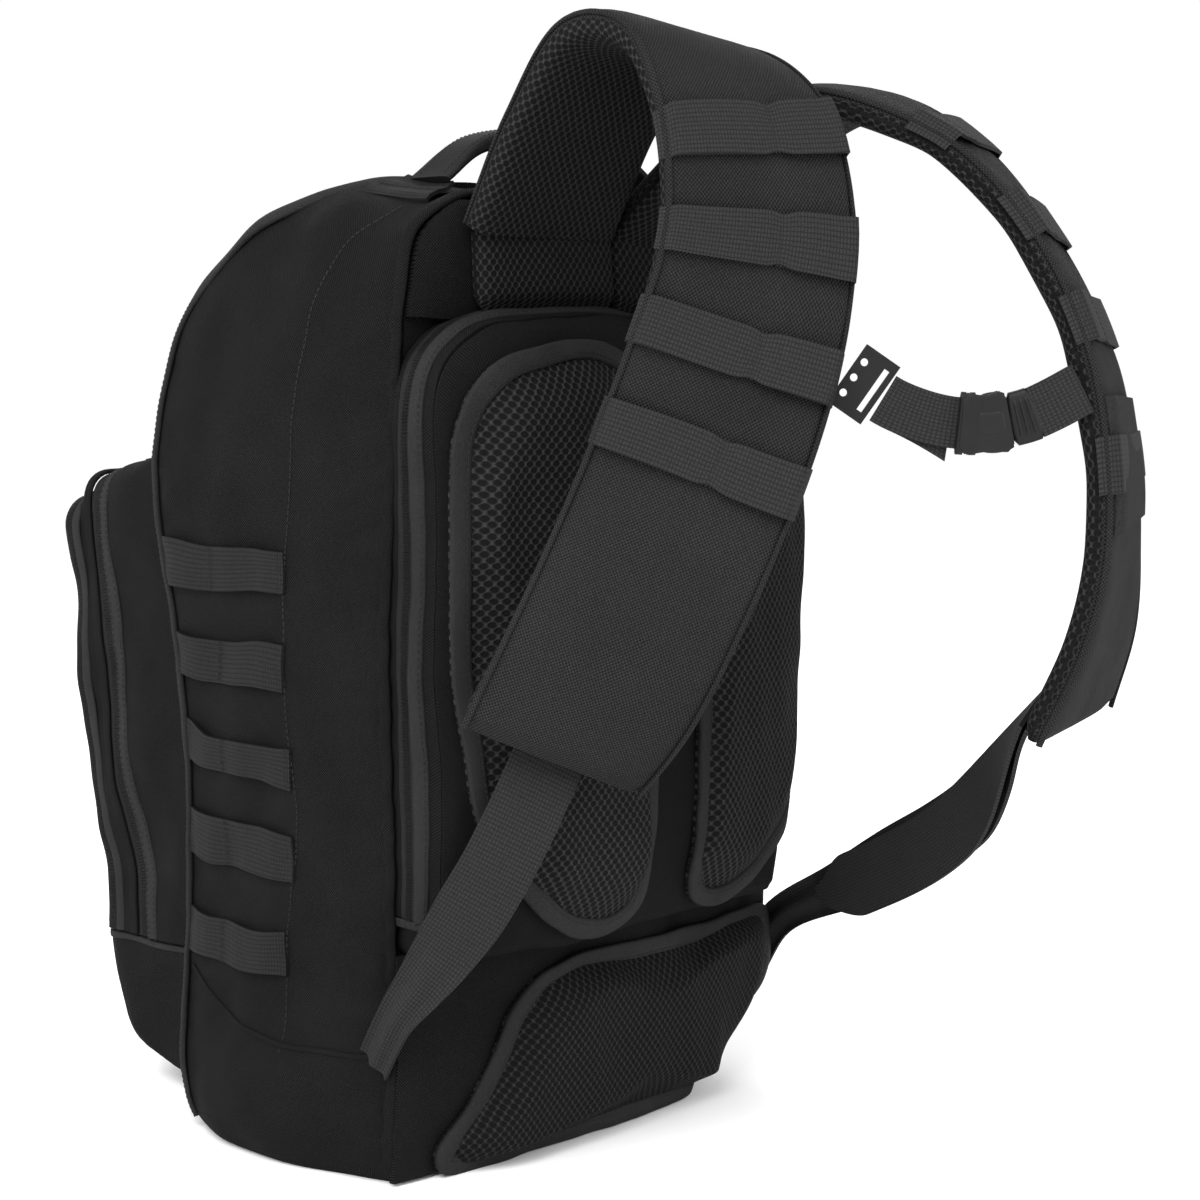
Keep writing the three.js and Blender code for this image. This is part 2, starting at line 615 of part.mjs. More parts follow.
// ---- Webbing rows on the sides ----
function addSideRows() {
  for (let row = 0; row < ROW_COUNT; row++) {
    const top = FIRST_ROW_TOP - row * ROW_PITCH;
    const frontY = FRONT_SEAM_Y + SEAM_LIP + 2 - (row === 0 ? FRONT_SWELL * 0.7 : 0);
    const face = (extra) => (u, v) => {
      const lift = GAP + ROW_LIFT * bump(2 * u - 1, 2);
      const y = frontY + (ROW_BACK_Y - frontY) * u;
      return V(HALF_WIDTH + lift + extra, y, top - WEBBING_WIDTH * v);
    };
    const band = sheetBetween(face(0), face(WEBBING_THICKNESS), 6, 1);
    addPiece(`side_webbing_right_${row + 1}`, band, webbing);
    addMirrored(`side_webbing_left_${row + 1}`, band, webbing);
  }
}
addSideRows();

// ---- Front pocket and slim outer pocket ----
// Profile in (y, z) of the pocket's front, moved back and drawn in by the given distances.
function pocketProfile(back, inset) {
  const y = (forward) => -forward + back + inset;
  const top = POCKET_TOP - inset;
  const bottom = POCKET_BOTTOM + inset;
  const shape = new THREE.Shape();
  shape.moveTo(0, top);
  shape.lineTo(y(132), top);
  shape.bezierCurveTo(y(180), top - 6, y(POCKET_DEPTH_TOP), top - 20, y(POCKET_DEPTH_TOP), top - 50);
  shape.bezierCurveTo(y(228), top - 75, y(217), top - 100, y(POCKET_DEPTH_MIDDLE), top - 125);
  shape.lineTo(y(POCKET_DEPTH_MIDDLE - 2), POCKET_HINGE_Z + 98);
  shape.bezierCurveTo(
    y(POCKET_DEPTH_MIDDLE - 5), POCKET_HINGE_Z + 58, y(POCKET_DEPTH_LOW), POCKET_HINGE_Z + 28,
    y(POCKET_DEPTH_LOW), POCKET_HINGE_Z,
  );
  shape.lineTo(y(POCKET_DEPTH_LOW - 2), bottom + 48);
  shape.quadraticCurveTo(y(POCKET_DEPTH_LOW - 6), bottom, y(POCKET_DEPTH_LOW - 42), bottom);
  shape.lineTo(0, bottom);
  return shape;
}

// Everything in front of a line that stands the given distance behind the pocket's face.
function aheadOf(setback) {
  const shape = new THREE.Shape();
  shape.moveTo(-FAR, POCKET_HINGE_Z + GAP);
  shape.lineTo(setback - POCKET_DEPTH_LOW, POCKET_HINGE_Z + GAP);
  shape.lineTo(setback - POCKET_DEPTH_MIDDLE, POCKET_HINGE_Z + 120);
  shape.lineTo(setback - POCKET_DEPTH_TOP, POCKET_TOP - 50);
  shape.lineTo(setback - POCKET_DEPTH_TOP + 6, FAR * 2);
  shape.lineTo(-FAR, FAR * 2);
  return prismX(shape, -FAR, FAR);
}

function addPocket() {
  const half = POCKET_WIDTH / 2;
  const body = prismX(sideProfile(-GAP), -FAR, FAR, 8);
  const outer = prismX(pocketProfile(0, 0), -half, half);
  const inner = prismX(pocketProfile(0, FABRIC), FABRIC - half, half - FABRIC);
  const shell = outer.subtract(inner).subtract(body);
  addPiece("front_pocket", geometryOf(shell.subtract(aheadOf(ZIP_SETBACK + GAP))), packFabric);
  const wall = prismX(pocketProfile(OUTER_SETBACK + GAP, 0), FABRIC - half - 1, half - FABRIC + 1)
    .subtract(prismX(pocketProfile(OUTER_SETBACK + GAP + FABRIC, 0), -FAR, FAR))
    .subtract(prismX(pocketProfile(0, FABRIC + GAP), -FAR, FAR).subtract(
      prismX(pocketProfile(0, FABRIC), -FAR, FAR)))
    .intersect(outer);
  const lidEdge = ZIP_SETBACK + GAP - ZIP_GAP;
  const lidShell = shell.intersect(aheadOf(lidEdge)).subtract(aheadOf(OUTER_SETBACK + GAP));
  const lidWall = wall.intersect(aheadOf(lidEdge)).subtract(aheadOf(OUTER_SETBACK + GAP));
  addPiece("pocket_lid", geometryOf(lidShell.add(lidWall)), packFabric);
  addPiece("outer_pocket", geometryOf(shell.intersect(aheadOf(OUTER_SETBACK))), packFabric);
}
addPocket();

// ---- Haul handle ----
function addHandle() {
  const half = HANDLE_SPAN / 2;
  const low = PACK_HEIGHT + HANDLE_FOOT;
  const route = [
    [V(half, HANDLE_Y, low), V(0, 1, 0)],
    [V(half * 0.62, HANDLE_Y, low + HANDLE_RISE * 0.72), V(0, 1, 0)],
    [V(0, HANDLE_Y, low + HANDLE_RISE), V(0, 1, 0)],
    [V(-half * 0.62, HANDLE_Y, low + HANDLE_RISE * 0.72), V(0, 1, 0)],
    [V(-half, HANDLE_Y, low), V(0, 1, 0)],
  ];
  const place = ribbon(route, HANDLE_WIDTH);
  const width = (s) => 0.6 + 0.4 * bump(2 * s - 1, 2);
  const face = (sign) => (u, v) => place(u, (2 * v - 1) * width(u), (sign * HANDLE_THICKNESS) / 2);
  addPiece("haul_handle", sheetBetween(face(1), face(-1), 16, 1), webbing);
}
addHandle();

// ---- Chest strap ----
const sternumStart = rightPlace(placeAtHeight(rightPlace, STERNUM_RIGHT_Z), 1, 0);
const sternumEnd = leftPlace(placeAtHeight(leftPlace, STERNUM_LEFT_Z), 1, 0);
const sternumSpan = sternumEnd.clone().sub(sternumStart);
const sternumPoint = (t) =>
  sternumStart.clone().addScaledVector(sternumSpan, t).add(V(0, 0, -4 * STERNUM_SAG * t * (1 - t)));
const sternumPlace = ribbon(
  [0, 0.25, 0.5, 0.75, 1].map((t) => [sternumPoint(t), V(0, 0, -1)]),
  WEBBING_WIDTH,
);

function sternumBand(name, from, to, width, thickness, material, steps = 4) {
  const face = (sign) => (u, v) =>
    sternumPlace(from + (to - from) * u, (2 * v - 1) * width, (sign * thickness) / 2);
  addPiece(name, sheetBetween(face(1), face(-1), steps, 1), material);
}

// A frame on the chest strap: X along it towards the left strap, Y up, Z out of the face.
function placeOnSternum(mesh, s) {
  const here = sternumPlace(s, 0, 0);
  const along = sternumPlace(s + 0.01, 0, 0).sub(sternumPlace(s - 0.01, 0, 0)).normalize();
  const up = V(0, 0, 1).addScaledVector(along, -along.z).normalize();
  const frame = new THREE.Matrix4().makeBasis(along, up, along.clone().cross(up));
  mesh.applyMatrix4(frame.setPosition(here));
}

function adjusterPlate() {
  let plate = block(0, PLATE_LENGTH, -PLATE_HEIGHT / 2, PLATE_HEIGHT / 2, -1.2, 1.2);
  for (const y of [9, 0, -9]) {
    const hole = new THREE.CylinderGeometry(2, 2, 6, 10).rotateX(Math.PI / 2).translate(4, y, 0);
    plate = plate.subtract(solid(hole));
  }
  const slot = block(PLATE_LENGTH - 6, PLATE_LENGTH - 3, -12, 12, -3, 3);
  return plate.subtract(slot);
}

function addSternumStrap() {
  const length = sternumSpan.length();
  const plate = addPiece("sternum_adjuster", geometryOf(adjusterPlate()), plastic);
  placeOnSternum(plate, PLATE_START / length);
  const buckleAt = BUCKLE_PLACE;
  const half = BUCKLE_WIDTH / 2;
  const covers = block(-16, 6, -half, half, -5, 5).subtract(block(-10, 7, -half - 1, half + 1, -2.8, 2.8));
  const female = addPiece("buckle_socket", geometryOf(covers), plastic);
  placeOnSternum(female, buckleAt);
  const body = block(6 + GAP, PLUG_END, -half + 2, half - 2, -4, 4);
  const tongue = block(-8, 8, -3, 3, -2.2, 2.2);
  const male = addPiece("buckle_plug", geometryOf(body.add(tongue)), plastic);
  placeOnSternum(male, buckleAt);
  for (const [name, sign] of [["upper", 1], ["lower", -1]]) {
    const y = [sign * 9.5, sign * (half - 0.8)].sort((a, b) => a - b);
    const arm = addPiece(`buckle_arm_${name}`, box(-7, 6, y[0], y[1], -2.2, 2.2), plastic);
    placeOnSternum(arm, buckleAt);
  }
  const webStart = (PLATE_START + PLATE_LENGTH + 1.5) / length;
  sternumBand("sternum_web_right", webStart, buckleAt - 18.5 / length, 1, 2.6, webbing);
  const webEnd = buckleAt + (PLUG_END + PLUG_TRAVEL + 3) / length;
  sternumBand("sternum_web_left", webEnd, 1 - 9 / length, 1, 2.6, webbing, 3);
}
addSternumStrap();

// ---- Loop patch on the left strap ----
function addLoopPatch() {
  const lift = STRAP_THICKNESS / 2 + BAND_LIFT + 4.4;
  const top = placeAtHeight(leftPlace, PATCH_TOP_Z);
  const low = placeAtHeight(leftPlace, PATCH_TOP_Z - PATCH_HEIGHT);
  const face = (extra) => (u, v) =>
    leftPlace(top + (low - top) * v, 0.9 * (2 * u - 1), -(lift + extra));
  addPiece("loop_patch", sheetBetween(face(0), face(1.6), 4, 3), loopPile);
}
addLoopPatch();

// ---- Zip sliders and pulls ----
function slider(name, x, y, z) {
  const [length, width, height] = SLIDER_SIZE;
  const sides = [x - length / 2, x + length / 2, y - width / 2, y + width / 2, z, z + height];
  addPiece(name, box(...sides), blackMetal);
}

function pull(name, x, y, z, reach) {
  const sides = [x - PULL_WIDTH / 2, x + PULL_WIDTH / 2, y, y + reach, z, z + PULL_THICKNESS];
  addPiece(name, box(...sides), plastic);
}

function addSliders() {
  const height = SLIDER_SIZE[2];
  const rearTop = REAR_TOP + GAP;
  slider("rear_zip_slider", -11, REAR_Y - 3, rearTop);
  pull("rear_zip_pull", -11, REAR_Y - 2, rearTop + height + GAP, 24);
  const pocketTop = POCKET_TOP - 7;
  slider("pocket_zip_slider", 97, ZIP_SETBACK - POCKET_DEPTH_TOP, pocketTop);
  pull("pocket_zip_pull", 97, ZIP_SETBACK - POCKET_DEPTH_TOP, pocketTop + height + GAP, 24);
  slider("main_zip_slider", 60, DOME_END_Y - 3, PACK_HEIGHT + GAP);
}
addSliders();

export default pack;
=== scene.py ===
import math

import bmesh
import bpy
import numpy as np
from mathutils import Matrix, Vector


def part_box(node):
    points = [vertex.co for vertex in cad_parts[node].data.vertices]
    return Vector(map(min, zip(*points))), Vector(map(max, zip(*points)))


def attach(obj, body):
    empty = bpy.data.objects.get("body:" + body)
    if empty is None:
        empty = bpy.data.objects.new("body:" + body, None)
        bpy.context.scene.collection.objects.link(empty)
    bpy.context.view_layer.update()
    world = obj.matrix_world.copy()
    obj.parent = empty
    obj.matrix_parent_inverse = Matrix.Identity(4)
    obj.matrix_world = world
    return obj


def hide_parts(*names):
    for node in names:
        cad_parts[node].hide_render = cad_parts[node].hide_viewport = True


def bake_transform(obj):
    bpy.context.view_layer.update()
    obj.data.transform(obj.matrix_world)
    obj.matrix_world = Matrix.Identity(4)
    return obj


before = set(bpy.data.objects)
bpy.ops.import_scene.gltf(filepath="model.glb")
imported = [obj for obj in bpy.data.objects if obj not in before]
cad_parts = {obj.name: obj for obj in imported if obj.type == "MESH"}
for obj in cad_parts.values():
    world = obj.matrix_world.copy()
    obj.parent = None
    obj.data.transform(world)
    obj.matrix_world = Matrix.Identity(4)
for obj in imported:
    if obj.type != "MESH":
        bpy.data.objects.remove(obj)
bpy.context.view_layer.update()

MM = 0.001
HALF_WIDTH = 150
BACK_Y = 85
REAR_Y = 118
REAR_HALF = 145
REAR_LOW, REAR_TOP = 122, 452
TOP_Z = 518
STRAP_WIDTH = 104
STRAP_ROOT_Z = 497
WEBBING = 25.4
LOWER_WEBBING = 38
POCKET_HALF = 128
HINGE_Z = 92


# ---- Camera, light and floor ----
CAMERA_PLACE = (0.9887, 1.0225, 0.4347)
CAMERA_AZIMUTH, CAMERA_ELEVATION = 133.219, 5.763
CAMERA_LENS, CAMERA_SENSOR = 73.946, 36
LIGHT_TARGET = (0, 0, 0.28)
FLOOR_REACH = 12


def add_camera():
    azimuth, elevation = math.radians(CAMERA_AZIMUTH), math.radians(CAMERA_ELEVATION)
    back = Vector((
        math.sin(azimuth) * math.cos(elevation),
        -math.cos(azimuth) * math.cos(elevation),
        math.sin(elevation),
    ))
    right = Vector((math.cos(azimuth), math.sin(azimuth), 0))
    turn = Matrix((right, back.cross(right), back)).transposed().to_4x4()
    data = bpy.data.cameras.new("camera")
    data.lens = CAMERA_LENS
    data.sensor_width = CAMERA_SENSOR
    data.clip_end = 50
    camera = bpy.data.objects.new("camera", data)
    camera.matrix_world = Matrix.Translation(CAMERA_PLACE) @ turn
    bpy.context.scene.collection.objects.link(camera)
    bpy.context.scene.camera = camera


def add_area(name, place, size, power):
    data = bpy.data.lights.new(name, "AREA")
    data.size = size
    data.energy = power
    light = bpy.data.objects.new(name, data)
    light.location = place
    aim = Vector(LIGHT_TARGET) - Vector(place)
    light.rotation_euler = aim.to_track_quat("-Z", "Y").to_euler()
    bpy.context.scene.collection.objects.link(light)


def add_studio():
    add_area("key", (2.0, 0.9, 2.3), 1.8, 75)
    add_area("fill", (-0.6, 2.6, 1.4), 2.2, 38)
    add_area("side", (2.2, -1.4, 1.2), 2.0, 30)
    add_area("rim", (-1.8, -1.6, 2.4), 1.6, 30)
    world = bpy.data.worlds.new("studio")
    world.use_nodes = True
    world.node_tree.nodes["Background"].inputs["Color"].default_value = (1, 1, 1, 1)
    world.node_tree.nodes["Background"].inputs["Strength"].default_value = 1.0
    bpy.context.scene.world = world
    bpy.context.scene.view_settings.view_transform = "Standard"
    mesh = bpy.data.meshes.new("floor")
    corners = [(FLOOR_REACH * x, FLOOR_REACH * y, 0) for x, y in ((-1, -1), (1, -1), (1, 1), (-1, 1))]
    mesh.from_pydata(corners, [], [(0, 1, 2, 3)])
    floor = bpy.data.objects.new("floor", mesh)
    paper = bpy.data.materials.new("paper")
    paper.use_nodes = True
    paper.node_tree.nodes["Principled BSDF"].inputs["Base Color"].default_value = (1, 1, 1, 1)
    paper.node_tree.nodes["Principled BSDF"].inputs["Roughness"].default_value = 0.9
    mesh.materials.append(paper)
    bpy.context.scene.collection.objects.link(floor)


add_camera()
add_studio()


# ---- Materials ----
CLOTH_GLOSS = 0.06


class Nodes:
    """A short way to write a material's node tree."""

    def __init__(self, name, roughness, sheen=0.0, specular=0.3, metallic=0.0):
        self.material = bpy.data.materials.new(name)
        self.material.use_nodes = True
        self.tree = self.material.node_tree
        self.shader = self.tree.nodes["Principled BSDF"]
        self.shader.inputs["Roughness"].default_value = roughness
        self.shader.inputs["Sheen Weight"].default_value = sheen
        self.shader.inputs["Sheen Roughness"].default_value = 0.5
        self.shader.inputs["Specular IOR Level"].default_value = specular
        self.shader.inputs["Metallic"].default_value = metallic

    def put(self, target, value):
        if isinstance(value, bpy.types.NodeSocket):
            self.tree.links.new(value, target)
        else:
            target.default_value = value

    def math(self, operation, *values):
        node = self.tree.nodes.new("ShaderNodeMath")
        node.operation = operation
        for target, value in zip(node.inputs, values):
            self.put(target, value)
        return node.outputs[0]

    def cloth(self):
        """Lengths across and along the cloth, in millimetres."""
        coordinates = self.tree.nodes.new("ShaderNodeUVMap")
        coordinates.uv_map = "Cloth"
        parts = self.tree.nodes.new("ShaderNodeSeparateXYZ")
        self.tree.links.new(coordinates.outputs[0], parts.inputs[0])
        return parts.outputs[0], parts.outputs[1]

    def noise(self, scale, detail=3.0):
        place = self.tree.nodes.new("ShaderNodeTexCoord")
        node = self.tree.nodes.new("ShaderNodeTexNoise")
        node.inputs["Scale"].default_value = scale
        node.inputs["Detail"].default_value = detail
        self.tree.links.new(place.outputs["Object"], node.inputs["Vector"])
        return node.outputs[0]

    def span(self, value, low, high, out_low, out_high):
        node = self.tree.nodes.new("ShaderNodeMapRange")
        for target, number in zip(node.inputs, (value, low, high, out_low, out_high)):
            self.put(target, number)
        return node.outputs[0]

    def grey(self, value):
        node = self.tree.nodes.new("ShaderNodeCombineColor")
        for i, tint in enumerate((1.0, 1.0, 1.02)):
            self.put(node.inputs[i], self.math("MULTIPLY", value, tint))
        self.tree.links.new(node.outputs[0], self.shader.inputs["Base Color"])

    def bump(self, height, strength, distance):
        node = self.tree.nodes.new("ShaderNodeBump")
        node.inputs["Strength"].default_value = strength
        node.inputs["Distance"].default_value = distance
        self.put(node.inputs["Height"], height)
        self.tree.links.new(node.outputs[0], self.shader.inputs["Normal"])


def woven(name, shade, across, along, contrast, roughness=0.85, sheen=0.0, depth=0.35):
    """Cloth with threads at these pitches, lighter where a thread comes over the top."""
    n = Nodes(name, roughness, sheen, CLOTH_GLOSS)
    u, v = n.cloth()
    warp = n.math("SINE", n.math("MULTIPLY", u, 2 * math.pi / across))
    weft = n.math("SINE", n.math("MULTIPLY", v, 2 * math.pi / along))
    weave = n.math("MULTIPLY", warp, weft)
    patches = n.span(n.noise(14), 0.3, 0.7, 0.88, 1.12)
    specks = n.span(n.noise(900, 2), 0.3, 0.7, 0.8, 1.2)
    light = n.span(weave, -1.0, 1.0, shade * (1 - contrast), shade * (1 + contrast))
    n.grey(n.math("MULTIPLY", light, n.math("MULTIPLY", patches, specks)))
    rough = n.span(n.noise(40), 0.3, 0.7, roughness - 0.06, roughness + 0.08)
    n.put(n.shader.inputs["Roughness"], rough)
    height = n.math("ADD", weave, n.math("MULTIPLY", n.noise(700, 2), 1.5))
    n.bump(height, depth, 0.0004)
    return n.material


def ribbed(name, shade, pitch_u, pitch_v):
    """Webbing: ribs along its length, each crossed by shallow steps."""
    n = Nodes(name, 0.75, 0.0, CLOTH_GLOSS)
    u, v = n.cloth()
    rib = n.math("ABSOLUTE", n.math("SINE", n.math("MULTIPLY", u, math.pi / pitch_u)))
    step = n.math("ABSOLUTE", n.math("SINE", n.math("MULTIPLY", v, math.pi / pitch_v)))
    weave = n.math("MINIMUM", n.math("POWER", rib, 0.6), n.math("POWER", step, 0.6))
    specks = n.span(n.noise(900, 2), 0.3, 0.7, 0.85, 1.15)
    light = n.span(weave, 0.0, 1.0, shade * 0.4, shade * 1.2)
    n.grey(n.math("MULTIPLY", light, specks))
    n.bump(weave, 0.5, 0.0005)
    return n.material


def spacer_mesh(name, shade, pitch_u, pitch_v):
    """Open mesh: rows of holes, each row shifted by half a pitch."""
    n = Nodes(name, 0.9, 0.0, CLOTH_GLOSS)
    u, v = n.cloth()

    def lattice(shift):
        parts = []
        for value, pitch in ((u, pitch_u), (v, pitch_v)):
            moved = n.math("ADD", value, shift * pitch)
            parts.append(n.math("SUBTRACT", n.math("FLOORED_MODULO", moved, pitch), pitch / 2))
        across = n.math("POWER", n.math("ABSOLUTE", parts[0]), 2.0)
        along = n.math("POWER", n.math("ABSOLUTE", parts[1]), 2.0)
        return n.math("SQRT", n.math("ADD", across, along))

    near = n.math("MINIMUM", lattice(0.0), lattice(0.5))
    thread = n.span(near, 1.25, 2.1, 0.0, 1.0)
    light = n.math("MULTIPLY", n.span(thread, 0.0, 1.0, 0.2, 1.0), shade)
    fleck = n.span(n.noise(1400, 2), 0.3, 0.7, 0.75, 1.25)
    n.grey(n.math("MULTIPLY", light, fleck))
    n.bump(thread, 0.9, 0.0011)
    return n.material


def moulded(name, shade, roughness, grain=0.12):
    n = Nodes(name, roughness, 0.0, 0.18)
    n.grey(n.span(n.noise(60), 0.3, 0.7, shade * 0.85, shade * 1.15))
    n.put(n.shader.inputs["Roughness"], n.span(n.noise(300), 0.3, 0.7, roughness - 0.07, roughness + 0.1))
    n.bump(n.noise(1800, 2), grain, 0.0002)
    return n.material


def metal(name, shade, roughness):
    n = Nodes(name, roughness, 0.0, 0.5, 0.9)
    n.grey(n.span(n.noise(150), 0.3, 0.7, shade * 0.8, shade * 1.2))
    n.put(n.shader.inputs["Roughness"], n.span(n.noise(500), 0.3, 0.7, roughness - 0.1, roughness + 0.15))
    return n.material


def pile(name, shade):
    n = Nodes(name, 0.95, 0.0, CLOTH_GLOSS)
    n.grey(n.span(n.noise(1100, 4), 0.35, 0.65, shade * 0.6, shade * 1.5))
    n.bump(n.noise(1300, 4), 0.9, 0.0012)
    return n.material


FABRIC = woven("pack_fabric", 0.0073, 1.5, 1.5, 1.0, depth=0.75)
HEAVY = woven("strap_fabric", 0.0165, 2.0, 2.0, 0.7, depth=0.8)
MESH = spacer_mesh("air_mesh", 0.027, 4.9, 6.0)
FINE_MESH = spacer_mesh("fine_mesh", 0.023, 4.6, 5.4)
RIBBED = ribbed("webbing", 0.0215, 1.8, 2.3)
SIDE_RIBBED = ribbed("side_webbing", 0.0150, 1.8, 2.3)
# The handle's webbing is the strap webbing painted darker: painted shade on the handle and its feet, which
# the top light would leave bright.
SHADED_HANDLE_RIBBED = ribbed("handle_webbing", 0.0125, 1.8, 2.3)
BINDING = woven("binding", 0.0175, 1.1, 1.6, 0.25, 0.75, depth=0.3)
ZIP_TAPE = woven("zip_tape", 0.013, 1.2, 0.9, 0.3)
LINING = woven("lining", 0.012, 1.0, 1.0, 0.15, 0.7)
THREAD = moulded("thread", 0.015, 0.8)
TEETH = moulded("zip_teeth", 0.011, 0.45)
PLASTIC = moulded("plastic", 0.008, 0.48)
PILE = pile("loop_pile", 0.019)
BLACK_METAL = metal("black_metal", 0.05, 0.35)
ALLOY = metal("alloy", 0.6, 0.35)


# ---- Shape helpers ----
def unit(v):
    return v / np.maximum(np.linalg.norm(v, axis=-1, keepdims=True), 1e-9)


def smooth_path(points, count, closed=False):
    """Equally spaced points on a centripetal Catmull-Rom curve through these ones."""
    p = np.array(points, float)
    if closed:
        p = np.vstack([p[-1], p, p[0], p[1]])
    else:
        p = np.vstack([2 * p[0] - p[1], p, 2 * p[-1] - p[-2]])
    fine = []
    for i in range(1, len(p) - 2):
        fine.append(segment(*p[i - 1:i + 3], np.linspace(0, 1, 24, endpoint=False)))
    fine = np.vstack(fine + [p[-2][None]])
    return even(fine, count, closed)


def segment(p0, p1, p2, p3, t):
    """Centripetal Catmull-Rom from p1 to p2."""
    gap = [max(np.linalg.norm(b - a), 1e-6) ** 0.5 for a, b in ((p0, p1), (p1, p2), (p2, p3))]
    out1 = (p1 - p0) / gap[0] - (p2 - p0) / (gap[0] + gap[1]) + (p2 - p1) / gap[1]
    out2 = (p2 - p1) / gap[1] - (p3 - p1) / (gap[1] + gap[2]) + (p3 - p2) / gap[2]
    m1, m2 = out1 * gap[1], out2 * gap[1]
    t = t[:, None]
    return (
        p1 * (2 * t**3 - 3 * t**2 + 1) + p2 * (3 * t**2 - 2 * t**3)
        + m1 * (t**3 - 2 * t**2 + t) + m2 * (t**3 - t**2)
    )


def even(path, count, closed=False):
    """The path's points, and what goes with them, at equal steps of its first three numbers."""
    place = path[:, :3]
    s = np.concatenate([[0], np.cumsum(np.linalg.norm(np.diff(place, axis=0), axis=1))])
    at = np.linspace(0, s[-1], count, endpoint=not closed)
    return np.stack([np.interp(at, s, path[:, k]) for k in range(path.shape[1])], axis=1)


def length_of(path):
    return float(np.linalg.norm(np.diff(path[:, :3], axis=0), axis=1).sum())


def waves(points, size, seed, count=7):
    """Smooth made-up unevenness with bumps of about this size, from about -1 to 1."""
    rng = np.random.default_rng(seed)
    total = np.zeros(points.shape[:-1])
    for _ in range(count):
        k = unit(rng.normal(size=3)) * 2 * math.pi / (size * rng.uniform(0.8, 1.8))
        total += np.sin(points @ k + rng.uniform(0, 6.28))
    return total / count**0.5


def fold(points, start, end, width, height):
    """A ridge or a crease between two points, fading at its ends."""
    a, b = np.array(start, float), np.array(end, float)
    along = b - a
    t = np.clip(((points - a) @ along) / (along @ along), 0, 1)
    gap = np.linalg.norm(points - (a + t[..., None] * along), axis=-1)
    return height * np.exp(-((gap / width) ** 2)) * (1 - 0.6 * t)


def arc_uv(grid):
    u = np.zeros(grid.shape[:2])
    v = np.zeros(grid.shape[:2])
    u[:, 1:] = np.cumsum(np.linalg.norm(np.diff(grid, axis=1), axis=2), axis=1)
    v[1:] = np.cumsum(np.linalg.norm(np.diff(grid, axis=0), axis=2), axis=0)
    u -= u[:, u.shape[1] // 2][:, None]
    v = np.repeat(v[:, v.shape[1] // 2][:, None], v.shape[1], axis=1)
    return np.stack([u, v], axis=2)


def normals_of(grid):
    return unit(np.cross(np.gradient(grid, axis=1), np.gradient(grid, axis=0)))


def quads(rows, columns, start=0, wrap=False):
    faces = []
    last = columns if wrap else columns - 1
    for i in range(rows - 1):
        for j in range(last):
            a = start + i * columns + j
            b = start + i * columns + (j + 1) % columns
            faces.append((a, b, b + columns, a + columns))
    return faces


def ease(value, low, high):
    t = np.clip((value - low) / (high - low), 0, 1)
    return t * t * (3 - 2 * t)


SOFT_BODIES = ("pack", "front_door", "pocket_lid", "outer_pocket", "rear_door")
CORNER_SLUMP = (60, -18, 14)  # how far the far low corner moves in x, y and z
CORNER_HEIGHT = 72
EDGE_SLUMP, EDGE_SLUMP_LOW = 13, 18  # the rear compartment's far edge, and what its low end adds
EDGE_SINK = 4
BASE_SWELL = 22
DOME_SWELL = 6.5
DOME_Y, DOME_Z = 30, 300  # the dome swells outwards from here
POCKET_SWELL, POCKET_SWELL_LOW = 3.5, 5
PUCKER = 0.9


def slouch(verts):
    """How the empty cloth body gives: full over the dome and the base, slack at its far corner."""
    x, y, z = verts[:, 0].copy(), verts[:, 1].copy(), verts[:, 2].copy()
    low = np.clip((CORNER_HEIGHT - z) / CORNER_HEIGHT, 0, 1) ** 1.6
    corner = ease(-x, 60, 150) * ease(y, 0, 80)
    x += CORNER_SLUMP[0] * corner * low
    y += CORNER_SLUMP[1] * corner * low
    z += CORNER_SLUMP[2] * corner * low
    edge = ease(-verts[:, 0], 105, 148) * ease(y, 90, 117) * ease(z, 100, 130)
    x += edge * (EDGE_SLUMP + EDGE_SLUMP_LOW * ease(-z, -200, -122))
    y -= EDGE_SINK * edge
    bell = np.cos(np.clip((verts[:, 1] + 8) / 98, -1, 1) * math.pi / 2) ** 1.3
    x += BASE_SWELL * bell * ease(verts[:, 0], 100, 150) * ease(-z, -80, -15)
    reach = np.hypot(y - DOME_Y, z - DOME_Z)
    dome = ease(reach, 70, 130) * ease(z, 300, 390) * ease(-y, -60, -10)
    y += DOME_SWELL * dome * (y - DOME_Y) / np.maximum(reach, 1)
    z += DOME_SWELL * dome * (z - DOME_Z) / np.maximum(reach, 1)
    pocket_foot = ease(-y, 120, 190) * ease(-verts[:, 2], -130, -70)
    y -= POCKET_SWELL * ease(-y, 110, 190) + POCKET_SWELL_LOW * pocket_foot
    moved = np.stack([x, y, z], axis=1)
    broad = np.stack([waves(verts, 75, k) for k in (201, 211, 221)], axis=1)
    fine = np.stack([waves(verts, 27, k) for k in (204, 214, 224)], axis=1)
    shift = 1.3 * broad + 0.55 * fine
    shift[:, 2] *= ease(z, 0, 60)
    by_seam = ease(verts[:, 1], 30, 80) * ease(-verts[:, 1], -90, -84)
    pucker = np.sin(z * 0.31 + 2.5 * waves(verts, 60, 231)) * by_seam
    shift[:, 0] += PUCKER * pucker * np.sign(verts[:, 0]) * ease(np.abs(verts[:, 0]), 135, 146)
    moved += shift
    moved[:, 2] = np.maximum(moved[:, 2], np.minimum(verts[:, 2], 0.4))
    return moved


